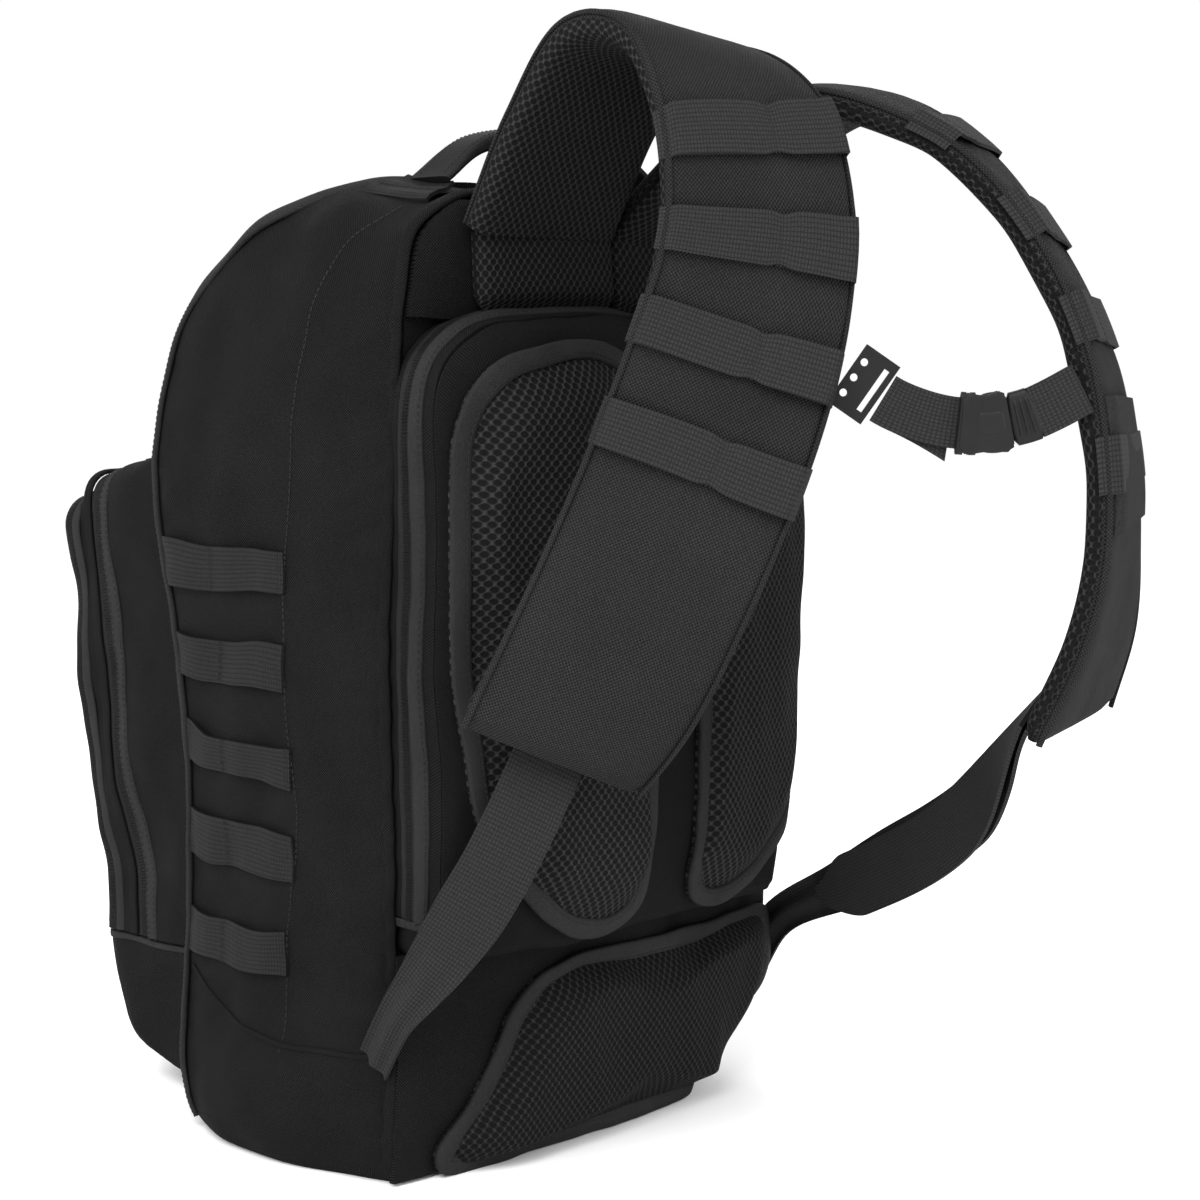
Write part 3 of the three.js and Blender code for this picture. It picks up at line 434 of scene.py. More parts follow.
def make(name, body, verts, faces, uv, material, slot, replaces=(), sharp=55, second=None, where=None):
    """A mesh object that rides on a body. Faces for which where is true take the second material."""
    mesh = bpy.data.meshes.new(name)
    verts = np.asarray(verts, float)
    if body in SOFT_BODIES:
        verts = slouch(verts)
    mesh.from_pydata((verts * MM).tolist(), [], faces)
    layer = mesh.uv_layers.new(name="Cloth")
    corners = np.empty(len(mesh.loops), np.int32)
    mesh.loops.foreach_get("vertex_index", corners)
    layer.data.foreach_set("uv", np.asarray(uv, np.float32).reshape(-1, 2)[corners].ravel())
    mesh.materials.append(material)
    if second:
        mesh.materials.append(second)
        chosen = [int(all(where[k] for k in face)) for face in faces]
        mesh.polygons.foreach_set("material_index", chosen)
    mesh.polygons.foreach_set("use_smooth", [True] * len(mesh.polygons))
    work = bmesh.new()
    work.from_mesh(mesh)
    bmesh.ops.recalc_face_normals(work, faces=work.faces)
    work.to_mesh(mesh)
    work.free()
    mesh.set_sharp_from_angle(angle=math.radians(sharp))
    piece = bpy.data.objects.new(name, mesh)
    bpy.context.scene.collection.objects.link(piece)
    if body:
        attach(piece, body)
    if replaces:
        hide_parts(*replaces)
    return piece


def slab(name, body, outer, inner, material, slot, replaces=(), **more):
    """A closed sheet between two grids of points."""
    rows, columns = outer.shape[:2]
    count = rows * columns
    faces = quads(rows, columns) + [f[::-1] for f in quads(rows, columns, count)]
    rim = [(0, j) for j in range(columns)] + [(i, columns - 1) for i in range(1, rows)]
    rim += [(rows - 1, j) for j in range(columns - 2, -1, -1)] + [(i, 0) for i in range(rows - 2, 0, -1)]
    ring = [i * columns + j for i, j in rim]
    for a, b in zip(ring, ring[1:] + ring[:1]):
        faces.append((b, a, a + count, b + count))
    uv = arc_uv(outer).reshape(-1, 2)
    verts = np.vstack([outer.reshape(-1, 3), inner.reshape(-1, 3)])
    if "where" in more:
        more["where"] = np.concatenate([more["where"].ravel(), more["where"].ravel()])
    return make(name, body, verts, faces, np.vstack([uv, uv]), material, slot, replaces, **more)


def sheet(name, body, outer, thickness, material, slot, replaces=(), centre=(0, 0, 260), **more):
    """A sheet whose thickness goes towards the centre."""
    normal = normals_of(outer)
    if (normal * (outer - np.array(centre, float))).sum() < 0:
        normal = -normal
    return slab(name, body, outer, outer - thickness * normal, material, slot, replaces, **more)


def tube(name, body, rings, material, slot, replaces=(), caps=True, **more):
    """Rings of points joined into a closed skin, with each end closed by a fan."""
    rows, columns = rings.shape[:2]
    faces = quads(rows, columns, wrap=True)
    uv = arc_uv(rings).reshape(-1, 2)
    verts = rings.reshape(-1, 3)
    if caps:
        verts = np.vstack([verts, rings[0].mean(0), rings[-1].mean(0)])
        uv = np.vstack([uv, [[0, 0], [0, 0]]])
        first, last, end = len(verts) - 2, len(verts) - 1, (rows - 1) * columns
        for j in range(columns):
            k = (j + 1) % columns
            faces.append((k, j, first))
            faces.append((end + j, end + k, last))
    else:
        for j in range(columns):
            k = (j + 1) % columns
            faces.append((k, j, (rows - 1) * columns + j, (rows - 1) * columns + k))
    if "where" in more:
        more["where"] = np.append(more["where"].ravel(), [False, False])
    return make(name, body, verts, faces, uv, material, slot, replaces, **more)


def with_normals(path, normal):
    normal = np.broadcast_to(np.array(normal, float), path.shape)
    return np.hstack([path, normal])


def frames_of(line, closed=False):
    """Point, tangent, side and normal along a path that carries its normals."""
    point = line[:, :3]
    if closed:
        tangent = unit(np.roll(point, -1, axis=0) - np.roll(point, 1, axis=0))
    else:
        tangent = unit(np.gradient(point, axis=0))
    normal = line[:, 3:6]
    normal = unit(normal - (normal * tangent).sum(1, keepdims=True) * tangent)
    return point, tangent, np.cross(tangent, normal), normal


def tape(name, body, line, width, height, material, slot, closed=False, lift=0.0, replaces=(), **more):
    """A crowned band along a path."""
    point, _, side, normal = frames_of(line, closed)
    angle = np.linspace(0, 2 * math.pi, 12, endpoint=False)
    across = np.sign(np.cos(angle)) * np.abs(np.cos(angle)) ** 0.5 * width / 2
    out = np.sign(np.sin(angle)) * np.abs(np.sin(angle)) ** 0.7 * height / 2 + lift
    rings = (
        point[:, None] + side[:, None] * across[None, :, None] + normal[:, None] * out[None, :, None]
    )
    if closed:
        rings = np.concatenate([rings, rings[:1]])
        rows, columns = rings.shape[:2]
        uv = arc_uv(rings)[:-1].reshape(-1, 2)
        body_rows = rings[:-1]
        count = len(body_rows) * columns
        faces = [tuple(k % count for k in f) for f in quads(rows, columns, wrap=True)]
        return make(name, body, body_rows.reshape(-1, 3), faces, uv, material, slot, replaces, **more)
    return tube(name, body, rings, material, slot, replaces, **more)


def bend_handle(piece):
    """Bakes the handle piece's placement into its mesh."""
    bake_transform(piece)


# ---- Sewing and zips: many small solids gathered into one piece for each body ----
small_parts = {}


def add_small(kind, body, line, pitch, along, across, rise, offset=0.0, closed=False, tilt=0.0):
    """Little ridges along a path, each with a ridge line across or along it."""
    count = max(int(length_of(line) / pitch), 2)
    point, tangent, side, normal = frames_of(even(line, count, closed))
    point = point + side * offset
    lead = tangent * math.cos(tilt) + side * math.sin(tilt)
    wing = np.cross(lead, normal)
    base = []
    for a, b in ((-1, -1), (1, -1), (1, 1), (-1, 1)):
        base.append(point + lead * a * along / 2 + wing * b * across / 2 - normal * 0.3)
    if along > across:
        tops = [point + lead * a * along * 0.28 + normal * rise for a in (-1, 1)]
    else:
        tops = [point + wing * b * across * 0.34 + normal * rise for b in (-1, 1)]
    verts = np.stack(base + tops, axis=1)
    if along > across:
        one = [(3, 2, 1, 0), (0, 1, 5, 4), (2, 3, 4, 5), (1, 2, 5), (3, 0, 4)]
    else:
        one = [(3, 2, 1, 0), (1, 2, 5, 4), (3, 0, 4, 5), (0, 1, 4), (2, 3, 5)]
    small_parts.setdefault((kind, body), []).append((verts, one))


def stitches(body, line, offsets=(0.0,), closed=False, pitch=3.6):
    for offset in offsets:
        add_small("stitching", body, line, pitch, 2.5, 0.85, 0.42, offset, closed)


def zip_chain(body, line):
    for offset, tilt in ((-1.1, 0.0), (1.1, 0.0)):
        add_small("zip_teeth", body, line, 1.7, 1.15, 2.4, 1.1, offset, False, tilt)


def finish_small_parts():
    for (kind, body), groups in sorted(small_parts.items()):
        verts, faces, start = [], [], 0
        for points, one in groups:
            for k in range(len(points)):
                faces += [tuple(start + 6 * k + i for i in face) for face in one]
            verts.append(points.reshape(-1, 3))
            start += 6 * len(points)
        verts = np.vstack(verts)
        material = THREAD if kind == "stitching" else TEETH
        slot = "webbing" if kind == "stitching" else "plastic"
        rides = None if body == "haul_handle" else body
        piece = make(f"{kind}_{body}", rides, verts, faces, verts[:, :2], material, slot)
        if rides is None:
            bend_handle(piece)


# ---- Body ----
# Where the front seam runs on the side, in (y, z), and the back seam's outline in (x, z).
FRONT = smooth_path(
    [(-52, 0.8, 0), (-66, 5, 0), (-77, 17, 0), (-83, 36, 0), (-83, 126, 0), (-83, 240, 0),
     (-92, 285, 0), (-101, 329, 0), (-101, 385, 0), (-97, 424, 0), (-84, 450, 0), (-65, 471, 0),
     (-45, 490, 0), (-21, 505, 0), (4, 513.5, 0), (30, 517.5, 0)], 160)[:, :2]
BACK = smooth_path(
    [(150, 31, 0), (150, 150, 0), (150, 300, 0), (148.5, 355, 0), (145, 410, 0), (139, 466, 0),
     (130, 495, 0), (117, 508, 0), (102, 514, 0), (82, 517.5, 0)], 110)[:, :2]


def front_y(z):
    return np.interp(z, FRONT[:, 1], FRONT[:, 0])


def half_width(z):
    low = np.clip((16 - z) / 16, 0, 1)
    return np.interp(z, BACK[:, 1], BACK[:, 0]) - 13 * (1 - np.sqrt(1 - low**2))


def side_bulge(y, z):
    share = (y - front_y(z)) / (BACK_Y - front_y(z))
    rise = np.sin(math.pi * np.clip(share, 0, 1)) ** 0.7
    return 9 * rise * ease(z, -25, 60) * (1 - 0.8 * ease(z, 440, 517))


def side_uneven(points):
    """Wrinkles of the side cloth, in millimetres outwards."""
    y, z = points[..., 1], points[..., 2]
    ahead = y - front_y(z)
    behind = BACK_Y - y
    total = 0.9 * waves(points, 70, 3) + 0.35 * waves(points, 26, 4)
    total += 0.5 * np.exp(-ahead / 12) * np.sin(z / 2.6 + 2 * waves(points, 60, 5))
    total += 0.8 * np.exp(-behind / 14) * np.sin(z / 3.4 + 3 * waves(points, 90, 6))
    total += fold(points, (150, -88, 352), (158, -38, 376), 5, 2.6)
    total += fold(points, (150, -88, 340), (158, -30, 344), 4, -2.4)
    total += fold(points, (150, -90, 330), (158, -46, 318), 4, 1.6)
    total += fold(points, (150, 84, 112), (158, 40, 140), 6, 2.4)
    total += fold(points, (150, 84, 96), (158, 46, 104), 5, -2.2)
    total += fold(points, (150, 84, 452), (150, 50, 470), 5, 2.2)
    total += fold(points, (150, 84, 436), (150, 56, 440), 5, -1.8)
    edge = np.minimum(ease(ahead, 0, 9), ease(behind, 0, 6))
    return total * edge * ease(z, 8, 40)


def on_side(y, z, lift=0.0):
    """A point on the right side panel's face, and its outward direction."""
    y, z = np.broadcast_arrays(np.asarray(y, float), np.asarray(z, float))
    step = 1.0
    slope = (half_width(z + step) - half_width(z - step)) / (2 * step)
    normal = unit(np.stack([np.ones_like(z), np.zeros_like(z), -slope], axis=-1))
    base = np.stack([half_width(z), y, z], axis=-1)
    out = side_bulge(y, z) + side_uneven(base) + lift
    return base + normal * out[..., None], normal


def mirrored(points):
    return points * np.array([-1.0, 1, 1])


def side_line(path, lift, right=True, count=None):
    """A path in (y, z) laid on a side panel, with its normals."""
    path = np.array(path, float)
    if count:
        path = smooth_path(np.hstack([path, np.zeros((len(path), 1))]), count)
    point, normal = on_side(path[:, 0], path[:, 1], lift)
    if not right:
        point, normal = mirrored(point), mirrored(normal)
    return np.hstack([point, normal])


STITCH_PATH = [(9, 62), (10, 71), (16, 143), (24, 198), (15, 251), (13, 304), (17, 357), (21, 409),
               (31, 461), (45, 491), (60, 508)]
ROWS = [  # front top, stitch top, back top, front bottom, back bottom of each webbing row, in z
    (331, 329, 329, 307, 305), (279, 277, 280, 255, 256), (232, 226, 226, 208, 204),
    (180, 178, 178, 155, 153), (126, 124, 124, 102, 100)]


def add_side(right):
    name = "right" if right else "left"
    foot = np.array([(half_width(np.array(v)), v) for v in (1.5, 4, 8, 13, 19, 25)])
    x, z = np.vstack([foot, BACK]).T
    slope = unit(np.stack([np.gradient(z), -np.gradient(x)], axis=1))
    share = np.linspace(0, 1, 64)
    y = front_y(z)[:, None] + (BACK_Y - front_y(z))[:, None] * share
    base = np.stack([np.repeat(x[:, None], 64, 1), y, np.repeat(z[:, None], 64, 1)], axis=2)
    out = side_bulge(y, base[..., 2]) + side_uneven(base) + 0.7 * ease(-z, -34, -28)[:, None]
    normal = np.stack([slope[:, 0], np.zeros(len(z)), slope[:, 1]], axis=1)
    outer = base + normal[:, None] * out[..., None]
    inner = base - normal[:, None] * 2.5
    if not right:
        outer, inner = mirrored(outer), mirrored(inner)
    slab(f"side_cloth_{name}", "pack", outer, inner, FABRIC, "pack_fabric", [f"side_panel_{name}"])
    sign = 1 if right else -1
    seam = side_line(STITCH_PATH, 0.5, right, 160)
    stitches("pack", seam)
    low_seam = side_line([(-76, 91), (-60, 82), (-45, 75), (1, 66), (40, 66), (78, 68)], 0.4, right, 60)
    tape(f"boot_seam_{name}", "pack", low_seam, 2.6, 1.8, FABRIC, "pack_fabric")
    edge = FRONT[FRONT[:, 1] > 6]
    point = np.stack([half_width(edge[:, 1]), edge[:, 0], edge[:, 1]], axis=1)
    ahead = unit(np.stack([-np.gradient(edge[:, 1]), np.gradient(edge[:, 0])], axis=1))
    normal = np.stack([np.full(len(edge), 0.9), ahead[:, 0] * 0.8, ahead[:, 1] * 0.8], axis=1)
    point = point + unit(normal) * 1.0
    line = np.hstack([point, normal])
    if not right:
        line = np.hstack([mirrored(line[:, :3]), mirrored(line[:, 3:])])
    line = even(line, 260)
    tape(f"front_binding_{name}", "pack", line, 9.5, 3.8, BINDING, "webbing")
    frames = frames_of(line)
    above = np.hstack([frames[0] + frames[3] * 1.7, line[:, 3:]])
    stitches("pack", above, (2.6 * sign,), pitch=3.0)


def add_rows(right):
    name = "right" if right else "left"
    for k, (front_top, middle_top, back_top, front_low, back_low) in enumerate(ROWS):
        top_z = lambda t: np.interp(t, [0, 0.43, 1], [front_top, middle_top, back_top])
        low_z = lambda t: np.interp(t, [0, 1], [front_low, back_low])
        share = np.linspace(0, 1, 40)
        start = front_y(np.array(float(front_top))) + 2
        end = np.interp(back_top - 12, [p[1] for p in STITCH_PATH], [p[0] for p in STITCH_PATH])
        y = start + (end - start) * share
        down = np.linspace(0, 1, 9)
        z = top_z(share)[None] + (low_z(share) - top_z(share))[None] * down[:, None]
        z += 0.5 * np.sin(share * 9 + k)[None]
        held = np.minimum(np.abs(share - 0.43) / 0.2, np.minimum(share, 1 - share) / 0.16)
        puff = 2.4 * ease(held, 0, 1)
        point, normal = on_side(np.repeat(y[None], 9, 0), z, 0)
        outer = point + normal * (1.9 + puff[None, :, None])
        inner = point + normal * (0.3 + puff[None, :, None] * 0.9)
        if not right:
            outer, inner = mirrored(outer), mirrored(inner)
        nodes = [f"side_webbing_{name}_{k + 1}"]
        slab(f"side_band_{name}_{k + 1}", "pack", outer, inner, SIDE_RIBBED, "webbing", nodes)
        for at in (0.43, 0.97):
            yy = start + (end - start) * at
            zz = np.linspace(float(top_z(at)) - 1.5, float(low_z(at)) + 1.5, 12)
            line = side_line(np.stack([np.full(12, yy), zz], axis=1), 2.2, right)
            stitches("pack", line, (-0.9, 0.9), pitch=2.6)


def front_strip(low, high, columns):
    """Grid over the front cloth from one height of the seam's profile to another."""
    edge = FRONT[(FRONT[:, 1] >= low) & (FRONT[:, 1] <= high)]
    share = np.linspace(-1, 1, columns)
    x = half_width(edge[:, 1])[:, None] * share
    out = unit(np.stack([-np.gradient(edge[:, 1]), np.gradient(edge[:, 0])], axis=1))
    base = np.stack(
        [x, np.repeat(edge[:, :1], columns, 1), np.repeat(edge[:, 1:], columns, 1)], axis=2)
    normal = np.stack([np.zeros(len(edge)), out[:, 0], out[:, 1]], axis=1)[:, None]
    rise = 6 * (1 - share**2)[None] ** 0.8 * ease(base[..., 2], 0, 40)
    rise = rise + (0.9 * waves(base, 60, 9) + 0.3 * waves(base, 24, 10)) * (1 - share**6)[None]
    return base, normal, rise


def add_front():
    base, normal, rise = front_strip(30, 518, 70)
    outer = base + normal * rise[..., None]
    slab("front_cloth", "front_door", outer, base - normal * 2.5, FABRIC, "pack_fabric", ["front_panel"])
    share = np.linspace(-1, 1, 50)
    y = np.linspace(30, BACK_Y, 18)
    x = half_width(np.array(516.0)) * share
    grid = np.stack([
        np.repeat(x[None], 18, 0), np.repeat(y[:, None], 50, 1), np.full((18, 50), 517.5)], axis=2)
    grid[..., 2] += 1.5 * (1 - share**2)[None] + 0.4 * waves(grid, 40, 11)
    sheet("top_cloth", "pack", grid, 2.5, FABRIC, "pack_fabric", ["top_panel"])


def boot_ring(z, inset):
    """Points round the boot at a height."""
    x = float(half_width(np.array(z))) - inset
    front = float(front_y(np.array(z))) + inset
    back = BACK_Y - inset
    steps = 40
    side_y = np.linspace(front, back, steps, endpoint=False)
    bulge = 0 if inset else 1
    right = [(x + bulge * float(side_bulge(np.array(v), np.array(z))), v) for v in side_y]
    rear = [(v, back) for v in np.linspace(x, -x, steps, endpoint=False)]
    left = [(-p, v) for p, v in right[::-1]]
    front_side = [(v, front) for v in np.linspace(-x, x, steps, endpoint=False)]
    ring = np.array(right + rear + left + front_side)
    return np.hstack([ring, np.full((len(ring), 1), z)])


def add_boot():
    heights = [0.4, 0.6, 2, 5, 9, 14, 20, 26, 30.5]
    rings = [boot_ring(heights[0], 30)] + [boot_ring(z, 0) for z in heights[1:]]
    rings += [boot_ring(z, 3) for z in (30.5, 20, 10, 4)] + [boot_ring(3.6, 30)]
    tube("boot_cloth", "pack", np.array(rings), FABRIC, "pack_fabric", ["base_boot"])


def back_seam(lift):
    """The back seam's path from the right foot over the top to the left foot."""
    foot = np.array([(half_width(np.array(z)), z) for z in (3.0, 8, 16, 24)])
    right = np.vstack([foot, BACK])
    point = np.stack([right[:, 0], np.full(len(right), BACK_Y), right[:, 1]], axis=1)
    out = unit(np.stack([np.gradient(right[:, 1]), -np.gradient(right[:, 0])], axis=1))
    normal = np.stack([out[:, 0], np.full(len(right), 0.5), out[:, 1]], axis=1)
    line = np.hstack([point + unit(normal) * lift, normal])
    other = np.hstack([mirrored(line[:, :3]), mirrored(line[:, 3:])])[::-1]
    return even(np.vstack([line, other]), 420)


def add_body():
    for right in (True, False):
        add_side(right)
        add_rows(right)
    add_front()
    add_boot()
    seam = back_seam(0.6)
    tape("back_seam", "pack", seam, 6.0, 3.4, FABRIC, "pack_fabric")


add_body()


# ---- Rear compartment, pads and lower back ----
def bump(t, power):
    return np.maximum(0, 1 - np.abs(t) ** power)


def door_y(x, z):
    middle = (REAR_LOW + REAR_TOP) / 2
    across = bump(x / (REAR_HALF + 1), 2.4)
    along = bump((z - middle) / ((REAR_TOP - REAR_LOW) / 2 + 18), 4)
    return REAR_Y + 3.4 + 27 * across * along


def rounded_loop(half, low, high, radius, foot, count):
    """A closed outline in (x, z), with round upper corners and small lower ones."""
    points = []
    for cx, cz, r, a0 in (
        (half - foot, low + foot, foot, -90), (half - radius, high - radius, radius, 0),
        (radius - half, high - radius, radius, 90), (foot - half, low + foot, foot, 180),
    ):
        for a in np.linspace(a0, a0 + 90, 14):
            points.append((cx + r * math.cos(math.radians(a)), cz + r * math.sin(math.radians(a)), 0))
    points.append(points[0])
    return even(np.array(points, float), count, True)[:, :2]


def loop_normals(loop):
    ahead = unit(np.roll(loop, -1, axis=0) - np.roll(loop, 1, axis=0))
    return np.stack([ahead[:, 1], -ahead[:, 0]], axis=1)


def ring_sheet(name, body, profile, loop, material, slot, replaces=(), inward=2.5, **more):
    """A closed band round a loop: profile lists (outward, y) from its first edge to its last."""
    out = loop_normals(loop)
    rings = []
    for side in (0, inward):
        order = profile if side == 0 else profile[::-1]
        for push, y in order:
            place = loop + out * (push - side)
            rings.append(np.stack([place[:, 0], np.full(len(loop), float(y)), place[:, 1]], axis=1))
    rings = np.array(rings)
    return tube(name, body, rings, material, slot, replaces, caps=False, **more)


def loop_line(loop, push, y, lean=0.0):
    out = loop_normals(loop)
    place = loop + out * push
    point = np.stack([place[:, 0], np.broadcast_to(y, len(loop)), place[:, 1]], axis=1)
    normal = np.stack([out[:, 0], np.full(len(loop), lean), out[:, 1]], axis=1)
    return np.hstack([point, normal])


def part_of(line, test):
    """The stretch of a closed line where the test holds, in order."""
    keep = test(line)
    start = int(np.argmax(keep & ~np.roll(keep, 1)))
    rolled = np.roll(line, -start, axis=0)
    return rolled[np.roll(keep, -start)]


def add_rear():
    loop = rounded_loop(REAR_HALF, REAR_LOW, REAR_TOP, 52, 5, 360)
    profile = [(0, 85.4), (1.5, 90), (2.4, 96), (2.6, 102), (2.0, 109), (0.6, 117.6)]
    ring_sheet("rear_gusset_cloth", "pack", profile, loop, FABRIC, "pack_fabric", ["rear_gusset"])
    above = lambda line: line[:, 2] > 141
    chain = part_of(loop_line(loop, 2.9, 98.0), above)
    tape("rear_zip_tape", "pack", chain, 13, 0.9, ZIP_TAPE, "pack_fabric")
    chain[:, :3] += unit(chain[:, 3:]) * 0.5
    zip_chain("pack", chain)
    welt = part_of(loop_line(loop, 3.0, 107.0, 0.35), above)
    tape("rear_zip_welt", "pack", welt, 8.5, 3.0, BINDING, "webbing")
    fore = part_of(loop_line(loop, 2.0, 88.5, 0.0), above)
    tape("rear_zip_flap", "pack", fore, 5.5, 1.8, FABRIC, "pack_fabric")
    stitches("pack", part_of(loop_line(loop, 2.5, 92.5), above))
    stitches("pack", part_of(loop_line(loop, 4.6, 107.5, 0.35), above), (2.4,))
    for sign in (1, -1):
        bar = np.array([[sign * 148.5, y, 139.5, sign, 0, 0] for y in np.linspace(86, 117, 12)])
        tape(f"rear_zip_end_{'right' if sign > 0 else 'left'}", "pack", bar, 5, 1.4, BINDING, "webbing")
        stitches("pack", bar + np.array([sign * 0.9, 0, 0, 0, 0, 0]), (-1.2, 1.2))


def add_door():
    """The door's cloth, bulged by the foam behind it."""
    loop = rounded_loop(REAR_HALF, REAR_LOW, REAR_TOP, 52, 5, 220)
    middle = np.array([0, (REAR_LOW + REAR_TOP) / 2])
    share = np.concatenate([np.linspace(0, 0.9, 30), [0.94, 0.97, 0.99, 1.0]])
    flat = middle + (loop[None] - middle) * share[:, None, None]
    y = door_y(flat[..., 0], flat[..., 1])
    y = y - 3.0 * ease(share, 0.97, 1.0)[:, None]
    outer = np.stack([flat[..., 0], y, flat[..., 1]], axis=2)
    outer[..., 1] += 0.7 * waves(outer, 45, 21) * (1 - ease(share, 0.8, 1.0))[:, None]
    inner = outer.copy()
    inner[..., 1] -= 2.6
    inner[-1, :, 1] += 1.4
    rings = np.concatenate([outer, inner[::-1]])
    tube("rear_door_cloth", "rear_door", rings, FABRIC, "pack_fabric", ["rear_door"])


def surface_line(loop, inset, surface, lift):
    """A loop in (x, z) laid on a surface y(x, z), drawn in by a distance, with its normals."""
    place = loop - loop_normals(loop) * inset
    x, z = place[:, 0], place[:, 1]
    step = 1.0
    slope_x = (surface(x + step, z) - surface(x - step, z)) / (2 * step)
    slope_z = (surface(x, z + step) - surface(x, z - step)) / (2 * step)
    normal = unit(np.stack([-slope_x, np.ones(len(x)), -slope_z], axis=1))
    point = np.stack([x, surface(x, z), z], axis=1) + normal * lift
    return np.hstack([point, normal])


def add_pad(name, body, outline, surface, height, band, material, replaces, seed, channels=()):
    """A foam pad under mesh: its crowned face, its bound rim and the stitches on the rim."""
    loop = smooth_path([(x, z, 0) for x, z in outline], 220, True)[:, :2]
    area = loop[:, 0] * np.roll(loop[:, 1], -1) - np.roll(loop[:, 0], -1) * loop[:, 1]
    if area.sum() < 0:
        loop = loop[::-1]
    middle = np.array([loop[:, 0].mean(), (loop[:, 1].min() + loop[:, 1].max()) / 2])
    share = np.concatenate([np.linspace(0, 0.86, 34), np.linspace(0.88, 1.0, 8)])
    flat = middle + (loop[None] - middle) * share[:, None, None]
    reach = np.linalg.norm(loop - middle, axis=1)
    from_edge = (1 - share)[:, None] * reach[None]
    crown = ease(from_edge, band * 0.5, band + 24)
    rise = 2.5 + (height - 2.5) * crown ** 0.7
    x, z = flat[..., 0], flat[..., 1]
    outer = np.stack([x, surface(x, z) + rise, z], axis=2)
    outer[..., 1] += 0.8 * waves(outer, 38, seed) * crown
    for start, end in channels:
        outer[..., 1] += fold(outer * np.array([1, 0, 1]), start, end, 5, -4.0)
    inner = np.stack([x, surface(x, z) + 0.6, z], axis=2)
    rings = np.concatenate([outer, inner[::-1]])
    piece = tube(name, body, rings, material, "air_mesh", replaces)
    flat_uv(piece)
    rim = surface_line(loop, band / 2 - 0.5, surface, 3.6)
    tape(f"{name}_binding", body, rim, band, 4.2, BINDING, "webbing", closed=True)
    sew = surface_line(loop, band / 2 - 0.5, surface, 5.6)
    stitches(body, sew, (band * 0.27,), closed=True, pitch=3.2)
    return piece


def flat_uv(piece):
    """The cloth's pattern laid straight on from behind, so that it doesn't gather in the middle."""
    mesh = piece.data
    co = np.empty(len(mesh.vertices) * 3, np.float32)
    mesh.vertices.foreach_get("co", co)
    co = co.reshape(-1, 3) / MM
    corners = np.empty(len(mesh.loops), np.int32)
    mesh.loops.foreach_get("vertex_index", corners)
    mesh.uv_layers["Cloth"].data.foreach_set("uv", co[:, [0, 2]][corners].astype(np.float32).ravel())


PAD_OUTLINE = [(19, 400), (27, 427), (43, 437), (65, 441), (87, 438), (112, 430), (129, 414),
               (139, 393), (142, 371), (142, 311), (138, 240), (128, 190), (92, 144), (62, 128),
               (36, 127), (21, 138), (18, 165), (18, 280)]
LUMBAR_OUTLINE = [
    (0, 108), (45, 108), (66, 102), (82, 86), (96, 62), (108, 40), (126, 14), (122, 3), (62, 2),
    (0, 2), (-70, 2), (-134, 3), (-146, 16), (-147, 60), (-146, 96), (-136, 104), (-70, 107)]


def low_y(x, z):
    top = REAR_LOW - 0.4
    rise = 1 - ((top - z) / top) ** 2
    return BACK_Y + 4 + 22 * bump(x / (HALF_WIDTH + 1), 2.2) * (0.35 + 0.65 * rise)


def add_back():
    add_pad("back_cushion_right", "rear_door", PAD_OUTLINE, door_y, 13, 11, MESH, ["back_pad_right"], 31)
    other = [(-x, z) for x, z in PAD_OUTLINE[::-1]]
    add_pad("back_cushion_left", "rear_door", other, door_y, 13, 11, MESH, ["back_pad_left"], 32)
    x = np.linspace(-HALF_WIDTH, HALF_WIDTH, 60)
    z = np.linspace(2, REAR_LOW - 0.6, 26)
    xx, zz = np.meshgrid(x, z)
    grid = np.stack([xx, low_y(xx, zz), zz], axis=2)
    edge = bump(xx / HALF_WIDTH, 6)
    grid[..., 1] += (1.0 * waves(grid, 50, 41) + 0.4 * waves(grid, 20, 42)) * edge
    grid[..., 1] += fold(grid, (148, 92, 118), (110, 100, 96), 7, 3.0) * edge
    grid[..., 1] += fold(grid, (-148, 92, 118), (-110, 100, 96), 7, 3.0) * edge
    back = grid.copy()
    back[..., 1] = BACK_Y + 0.6
    slab("lower_back_cloth", "pack", grid, back, FABRIC, "pack_fabric", ["lower_back_panel"])
    add_pad("lumbar_cushion", "pack", LUMBAR_OUTLINE, low_y, 19, 11, FINE_MESH, ["lumbar_pad"], 43)
    z = np.linspace(REAR_TOP + 0.6, 513, 22)
    share = np.linspace(-1, 1, 50)
    grid = np.stack([
        (half_width(z) - 5)[:, None] * share, np.full((22, 50), 92.2), np.repeat(z[:, None], 50, 1)], axis=2)
    edge = bump(share, 6)[None] * bump((z - 482) / 32, 4)[:, None]
    grid[..., 1] += (3 + 0.7 * waves(grid, 40, 44)) * edge - 4 * (1 - bump(share, 10))[None]
    back = grid.copy()
    back[..., 1] = BACK_Y + 0.5
    slab("yoke_cloth", "pack", grid, back, FABRIC, "pack_fabric", ["yoke_panel"])


add_rear()
add_door()
add_back()


